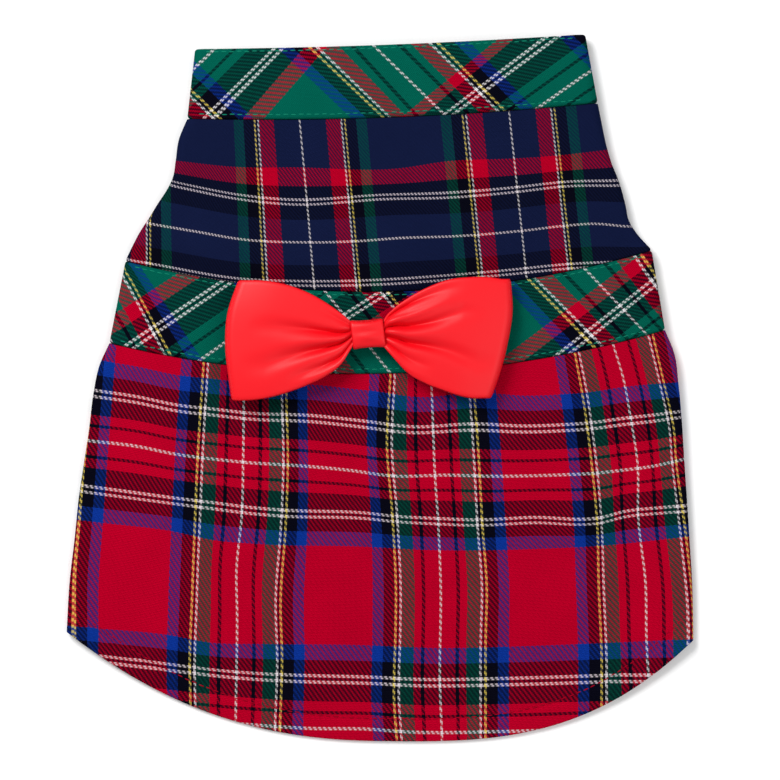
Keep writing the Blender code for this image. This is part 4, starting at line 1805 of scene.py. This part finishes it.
@dataclass
class Skirt:
    """The red skirt: its back, both folds and a flap underneath on each side.

    Args:
        panel: the space that it fills.
        grain: how its threads run.
        cell: spacing of its grid.
    """

    panel: Panel
    grain: Grain
    cell: float = 0.0010

    def build(self) -> bpy.types.Object:
        """Builds the skirt.

        Returns:
            The object.
        """
        length = self.panel.top.level - self.panel.bottom.level + HEM_DROP
        down, rim = edge_rows(length, self.cell, self.panel.cloth)
        columns = wrap(self.panel.top.width, FLAP_REACH, self.cell)
        points, carried = columns_of(self.panel, columns, down)
        half = np.broadcast_to(rim, points.shape[:2]).copy()
        half[0] = half[-1] = 0.0
        self.hem(points, columns)
        self.sheet = Sheet(points, self.grain.at(carried, points[..., 1]), half, False)
        self.piece = self.sheet.build("skirt_cloth")
        return self.piece

    def hem(self, points: np.ndarray, columns: Sequence[Column]) -> None:
        """Raises the turned hem a little and draws in the line where it is sewn.

        Args:
            points: the skirt's grid, changed in place.
            columns: its columns.
        """
        edge = points[:, -1:, :]
        run = np.linalg.norm(points - edge, axis=-1) / MM
        turned = 1 / (1 + np.exp((run - HEM_TURN / MM + 0.6) * 4))
        back = np.array([column.place is Place.BACK for column in columns])[:, None]
        seam = np.exp(-(((run - HEM_TURN / MM) / 0.7) ** 2))
        x = points[..., 0] / MM
        pucker = 0.10 * np.sin(x * 1.35 + 0.8 * np.sin(x * 0.21)) * np.exp(
            -(((run - HEM_TURN / MM + 1.5) / 3.0) ** 2)
        )
        points[..., 2] += back * MM * (0.28 * turned - 0.16 * seam + pucker)

    def hem_path(self) -> tuple[np.ndarray, np.ndarray]:
        """The line of the hem's stitches across the back.

        Returns:
            Its points on the surface, and their normals.
        """
        columns = across_back(400)
        down = np.linspace(0.7, 1.0, 121)
        points, _ = columns_of(self.panel, columns, down)
        run = np.linalg.norm(points - points[:, -1:, :], axis=-1)
        slope = np.gradient(points[:, -1, 1], points[:, -1, 0])
        wanted = HEM_TURN * np.sqrt(1 + slope**2)
        path = []
        for column, distance, want in zip(points, run, wanted):
            at = [np.interp(-want, -distance, column[:, a]) for a in range(3)]
            path.append(at)
        path = np.array(path)
        path[:, 2] += self.panel.cloth / 2 - 0.00002
        normals = np.tile(np.array([0.0, 0.0, 1.0]), (len(path), 1))
        return path, normals

    def dress(self, finishes: Finishes) -> None:
        """Finishes the skirt and sews its hem.

        Args:
            finishes: the materials.
        """
        self.piece.data.materials.append(finishes.red)
        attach(self.piece, "root")
        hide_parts("skirt")
        sewing = Sewing("hem_stitches", 0.00042)
        sewing.row(*self.hem_path())
        stitches = sewing.build(finishes.red_thread)
        self.sheet.flat()
        self.sheet.area()


@dataclass
class Bow:
    """The satin bow: one flattened band of satin for both loops, and the knot round it.

    Args:
        base: the middle of the knot.
    """

    base: np.ndarray
    outline: list[Smooth] = field(init=False)

    def __post_init__(self) -> None:
        """Makes the curves of its loops."""
        self.outline = [Smooth(BOW_OUTLINE, column) for column in (1, 2, 3, 4)]
        self.ends = [Smooth(BOW_ENDS, column) for column in (1, 2)]
        self.lie = Smooth(BOW_LIE, 1)

    def gathers(self, sign: int, out: float, up: np.ndarray, half: float) -> np.ndarray:
        """Height that the gathers add to the front of a loop.

        Args:
            sign: -1 for the left loop and 1 for the right one.
            out: share of the way out.
            up: places between the edges.
            half: half the loop's height there, in metres.

        Returns:
            Heights in metres.
        """
        total = np.zeros_like(up)
        start = float(np.clip((out - 0.10) / 0.06, 0.0, 1.0))
        for pleat in PLEATS:
            if pleat.side != sign or out >= pleat.end * 1.25:
                continue
            share = min(out / pleat.end, 1.0)
            bend = 4 * share * (1 - share) * (pleat.middle - (pleat.near + pleat.far) / 2)
            middle = mix(pleat.near, pleat.far, share) + bend
            width = mix(0.55, pleat.width, share**1.3) * MM / half
            fade = (1 - (out / (pleat.end * 1.25)) ** 2) ** 1.4
            total += pleat.rise * MM * fade * start * np.exp(-(((up - middle) / width) ** 2))
        return total

    def point(self, sign: int, front: int, out: float, up: np.ndarray) -> np.ndarray:
        """Points of a loop about the knot.

        Args:
            sign: -1 for the left loop and 1 for the right one.
            front: 1 for the front skin and -1 for the one behind.
            out: share of the way out.
            up: places between the edges, from -1 below to 1 above.

        Returns:
            The points.
        """
        rise_at, drop_at = self.outline[:2] if sign < 0 else self.outline[2:]
        rise = float(rise_at(np.array(out)))
        drop = float(drop_at(np.array(out)))
        y = BOW_HALF_HEIGHT * mix(-drop, rise, (up + 1) / 2)
        reach = self.ends[0 if sign < 0 else 1](up)
        x = sign * BOW_REACH * out * mix(1.0, reach, out)
        thick = mix(BOW_PINCH, BOW_LOFT, float(self.lie(np.array(out))))
        rounded = 1 - 0.30 * np.abs(up) ** 3 * min(1, out / 0.3)
        z = front * thick * rounded - BOW_DROOP * out * out
        if front > 0:
            z = z + self.gathers(sign, out, up, BOW_HALF_HEIGHT * (rise + drop) / 2)
        return np.stack([x, y, z], axis=-1)

    def loops(self) -> Sheet:
        """The band of satin that makes both loops.

        Returns:
            The sheet.
        """
        up = np.linspace(1, -1, 81)
        outs = np.concatenate([np.linspace(0, 0.3, 26), np.linspace(0.3, 1, 55)[1:]])
        fold = mix(BOW_PINCH, BOW_LOFT, BOW_LIE[-1][1])

        def end(sign: int, turn: float) -> np.ndarray:
            """A column round a loop's far fold, from its front at 0 to its back at 1."""
            top = self.point(sign, 1, 1.0, up)
            low = self.point(sign, -1, 1.0, up)
            angle = math.pi * (0.5 - turn)
            swing = np.zeros_like(top)
            swing[:, 0] = sign * fold * math.cos(angle)
            swing[:, 2] = (top[:, 2] - low[:, 2]) / 2 * math.sin(angle)
            return (top + low) / 2 + swing

        columns = [self.point(-1, 1, out, up) for out in outs[:0:-1]]
        columns += [self.point(1, 1, out, up) for out in outs]
        columns += [end(1, k / 10) for k in range(1, 10)]
        columns += [self.point(1, -1, out, up) for out in outs[::-1]]
        columns += [self.point(-1, -1, out, up) for out in outs[1:]]
        columns += [end(-1, 1 - k / 10) for k in range(1, 10)]
        points = np.stack(columns) + self.base
        rim = np.full(len(up), SATIN / 2)
        rim[:3] = rim[-3:][::-1] = np.array([0.0, 0.62, 0.92]) * SATIN / 2
        half = np.broadcast_to(rim, points.shape[:2]).copy()
        across = np.arange(len(columns) + 1) * 0.0008
        fabric = np.stack(np.broadcast_arrays(across[:, None], up[None, :] * 0.02), axis=-1)
        return Sheet(points, fabric, half, True)

    def knot(self) -> Sheet:
        """The short band of satin round the middle.

        Returns:
            The sheet.
        """
        sides = 72
        way = np.linspace(0, 1, 41)
        columns = []
        for index in range(sides):
            angle = -2 * math.pi * index / sides
            c, s = math.cos(angle), math.sin(angle)
            square = (c**4 + s**4) ** -0.25
            bent = (2 * way - 1) ** 2
            crease = 0.00022 * np.exp(-(((way - 0.5) / 0.34) ** 2)) * math.cos(7 * angle)
            y = ((KNOT_HALF_HEIGHT - SATIN / 2) * (0.90 + 0.14 * bent) + crease) * c * square
            y = y + (way - 0.5) * 0.0008
            z = (KNOT_HALF_DEPTH * (1.0 - 0.10 * bent) + crease) * s * square
            x = (way - 0.5) * KNOT_LENGTH - 0.0006 * (y / 0.005)
            columns.append(np.stack([x, y, z], axis=-1))
        points = np.stack(columns) + self.base
        rim = np.full(len(way), SATIN / 2)
        rim[:3] = rim[-3:][::-1] = np.array([0.0, 0.62, 0.92]) * SATIN / 2
        half = np.broadcast_to(rim, points.shape[:2]).copy()
        around = np.arange(sides + 1) * 0.0004
        fabric = np.stack(np.broadcast_arrays(around[:, None], way[None, :] * 0.0115), axis=-1)
        return Sheet(points, fabric, half, True)

    def build(self) -> None:
        """Builds the loops and the knot."""
        self.loop_sheet = self.loops()
        self.loop_piece = self.loop_sheet.build("bow_loops_satin")
        self.knot_sheet = self.knot()
        self.knot_piece = self.knot_sheet.build("bow_knot_satin")

    def dress(self, finishes: Finishes) -> None:
        """Finishes the bow.

        Args:
            finishes: the materials.
        """
        for piece, sheet, node in (
            (self.loop_piece, self.loop_sheet, "bow_loops"),
            (self.knot_piece, self.knot_sheet, "bow_knot"),
        ):
            piece.data.materials.append(finishes.satin)
            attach(piece, "root")
            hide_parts(node)
            sheet.flat()
            sheet.area()


@dataclass
class Studio:
    """The white surface, the camera overhead and the soft light from the upper left."""

    middle: tuple[float, float] = (0.0035, -0.0007)
    view: float = 0.273
    distance: float = 1.9
    key_power: float = 26.0
    fill_power: float = 9.0
    sky_strength: float = 0.50

    def build(self) -> None:
        """Builds the stage."""
        bpy.ops.mesh.primitive_plane_add(size=6.0, location=(0, 0, -0.0002))
        floor = bpy.context.object
        floor.name = "floor"
        floor.data.materials.append(
            Plain("white_surface", (255, 255, 255), 0.95).material()
        )
        self.light("key", (-0.75, 0.85, 1.25), 0.75, self.key_power)
        self.light("fill", (0.9, -0.3, 1.4), 1.2, self.fill_power)
        world = bpy.data.worlds.new("studio")
        bpy.context.scene.world = world
        world.use_nodes = True
        background = world.node_tree.nodes["Background"]
        background.inputs["Color"].default_value = (1.0, 1.0, 1.0, 1.0)
        background.inputs["Strength"].default_value = self.sky_strength
        self.camera()

    def light(
        self, name: str, place: tuple[float, float, float], size: float, power: float
    ) -> None:
        """Adds a soft box that faces the dress.

        Args:
            name: its name.
            place: where it stands.
            size: its width.
            power: its power in watts.
        """
        data = bpy.data.lights.new(name, "AREA")
        data.shape = "SQUARE"
        data.size = size
        data.energy = power
        lamp = bpy.data.objects.new(name, data)
        lamp.location = place
        lamp.rotation_euler = (-Vector(place)).to_track_quat("-Z", "Y").to_euler()
        bpy.context.scene.collection.objects.link(lamp)

    def camera(self) -> None:
        """Adds the camera, overhead."""
        data = bpy.data.cameras.new("camera")
        data.sensor_width = 36.0
        data.lens = 36.0 * self.distance / self.view
        data.clip_end = 10.0
        camera = bpy.data.objects.new("camera", data)
        camera.location = (self.middle[0], self.middle[1], self.distance + 0.006)
        bpy.context.scene.collection.objects.link(camera)
        bpy.context.scene.camera = camera


def bow_base() -> np.ndarray:
    """The middle of the knot, over the waist band."""
    low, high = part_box("bow_knot")
    return np.array([(a + b) / 2 for a, b in zip(low, high)])


def colour_settings() -> None:
    """Shows colours as they are, without a film look."""
    scene = bpy.context.scene
    scene.view_settings.view_transform = "Standard"
    scene.view_settings.look = "None"


def main() -> None:
    """Builds, dresses and stages the dog dress."""
    logging.basicConfig(level=logging.INFO, format="%(name)s %(message)s")
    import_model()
    neck = Panel(NECK_TOP, NECK_SEAM, STRAIGHT_OUTLINE, BAND_CLOTH)
    upper = Panel(NECK_SEAM, WAIST_TOP, YOKE_OUTLINE, FLANNEL)
    waist = Panel(WAIST_TOP, WAIST_SEAM, STRAIGHT_OUTLINE, BAND_CLOTH)
    lower = Panel(WAIST_SEAM, HEM, SKIRT_OUTLINE, FLANNEL, hangs=True)
    parts = [
        Band("neck_band", neck, Grain(Family(NECK_WARP), Family(NECK_WEFT), Lay.BIAS)),
        Yoke(upper, Grain(Family(YOKE_WARP), Family(YOKE_WEFT), Lay.STRAIGHT)),
        Band("waist_band", waist, Grain(Family(WAIST_WARP), Family(WAIST_WEFT), Lay.BIAS)),
        Skirt(lower, Grain(Family(SKIRT_WARP), Family(SKIRT_WEFT), Lay.STRAIGHT)),
        Bow(bow_base()),
    ]
    finishes = Finishes.make()
    for part in parts:
        part.build()
        part.dress(finishes)
    Studio().build()
    colour_settings()


if __name__ == "__main__":
    main()
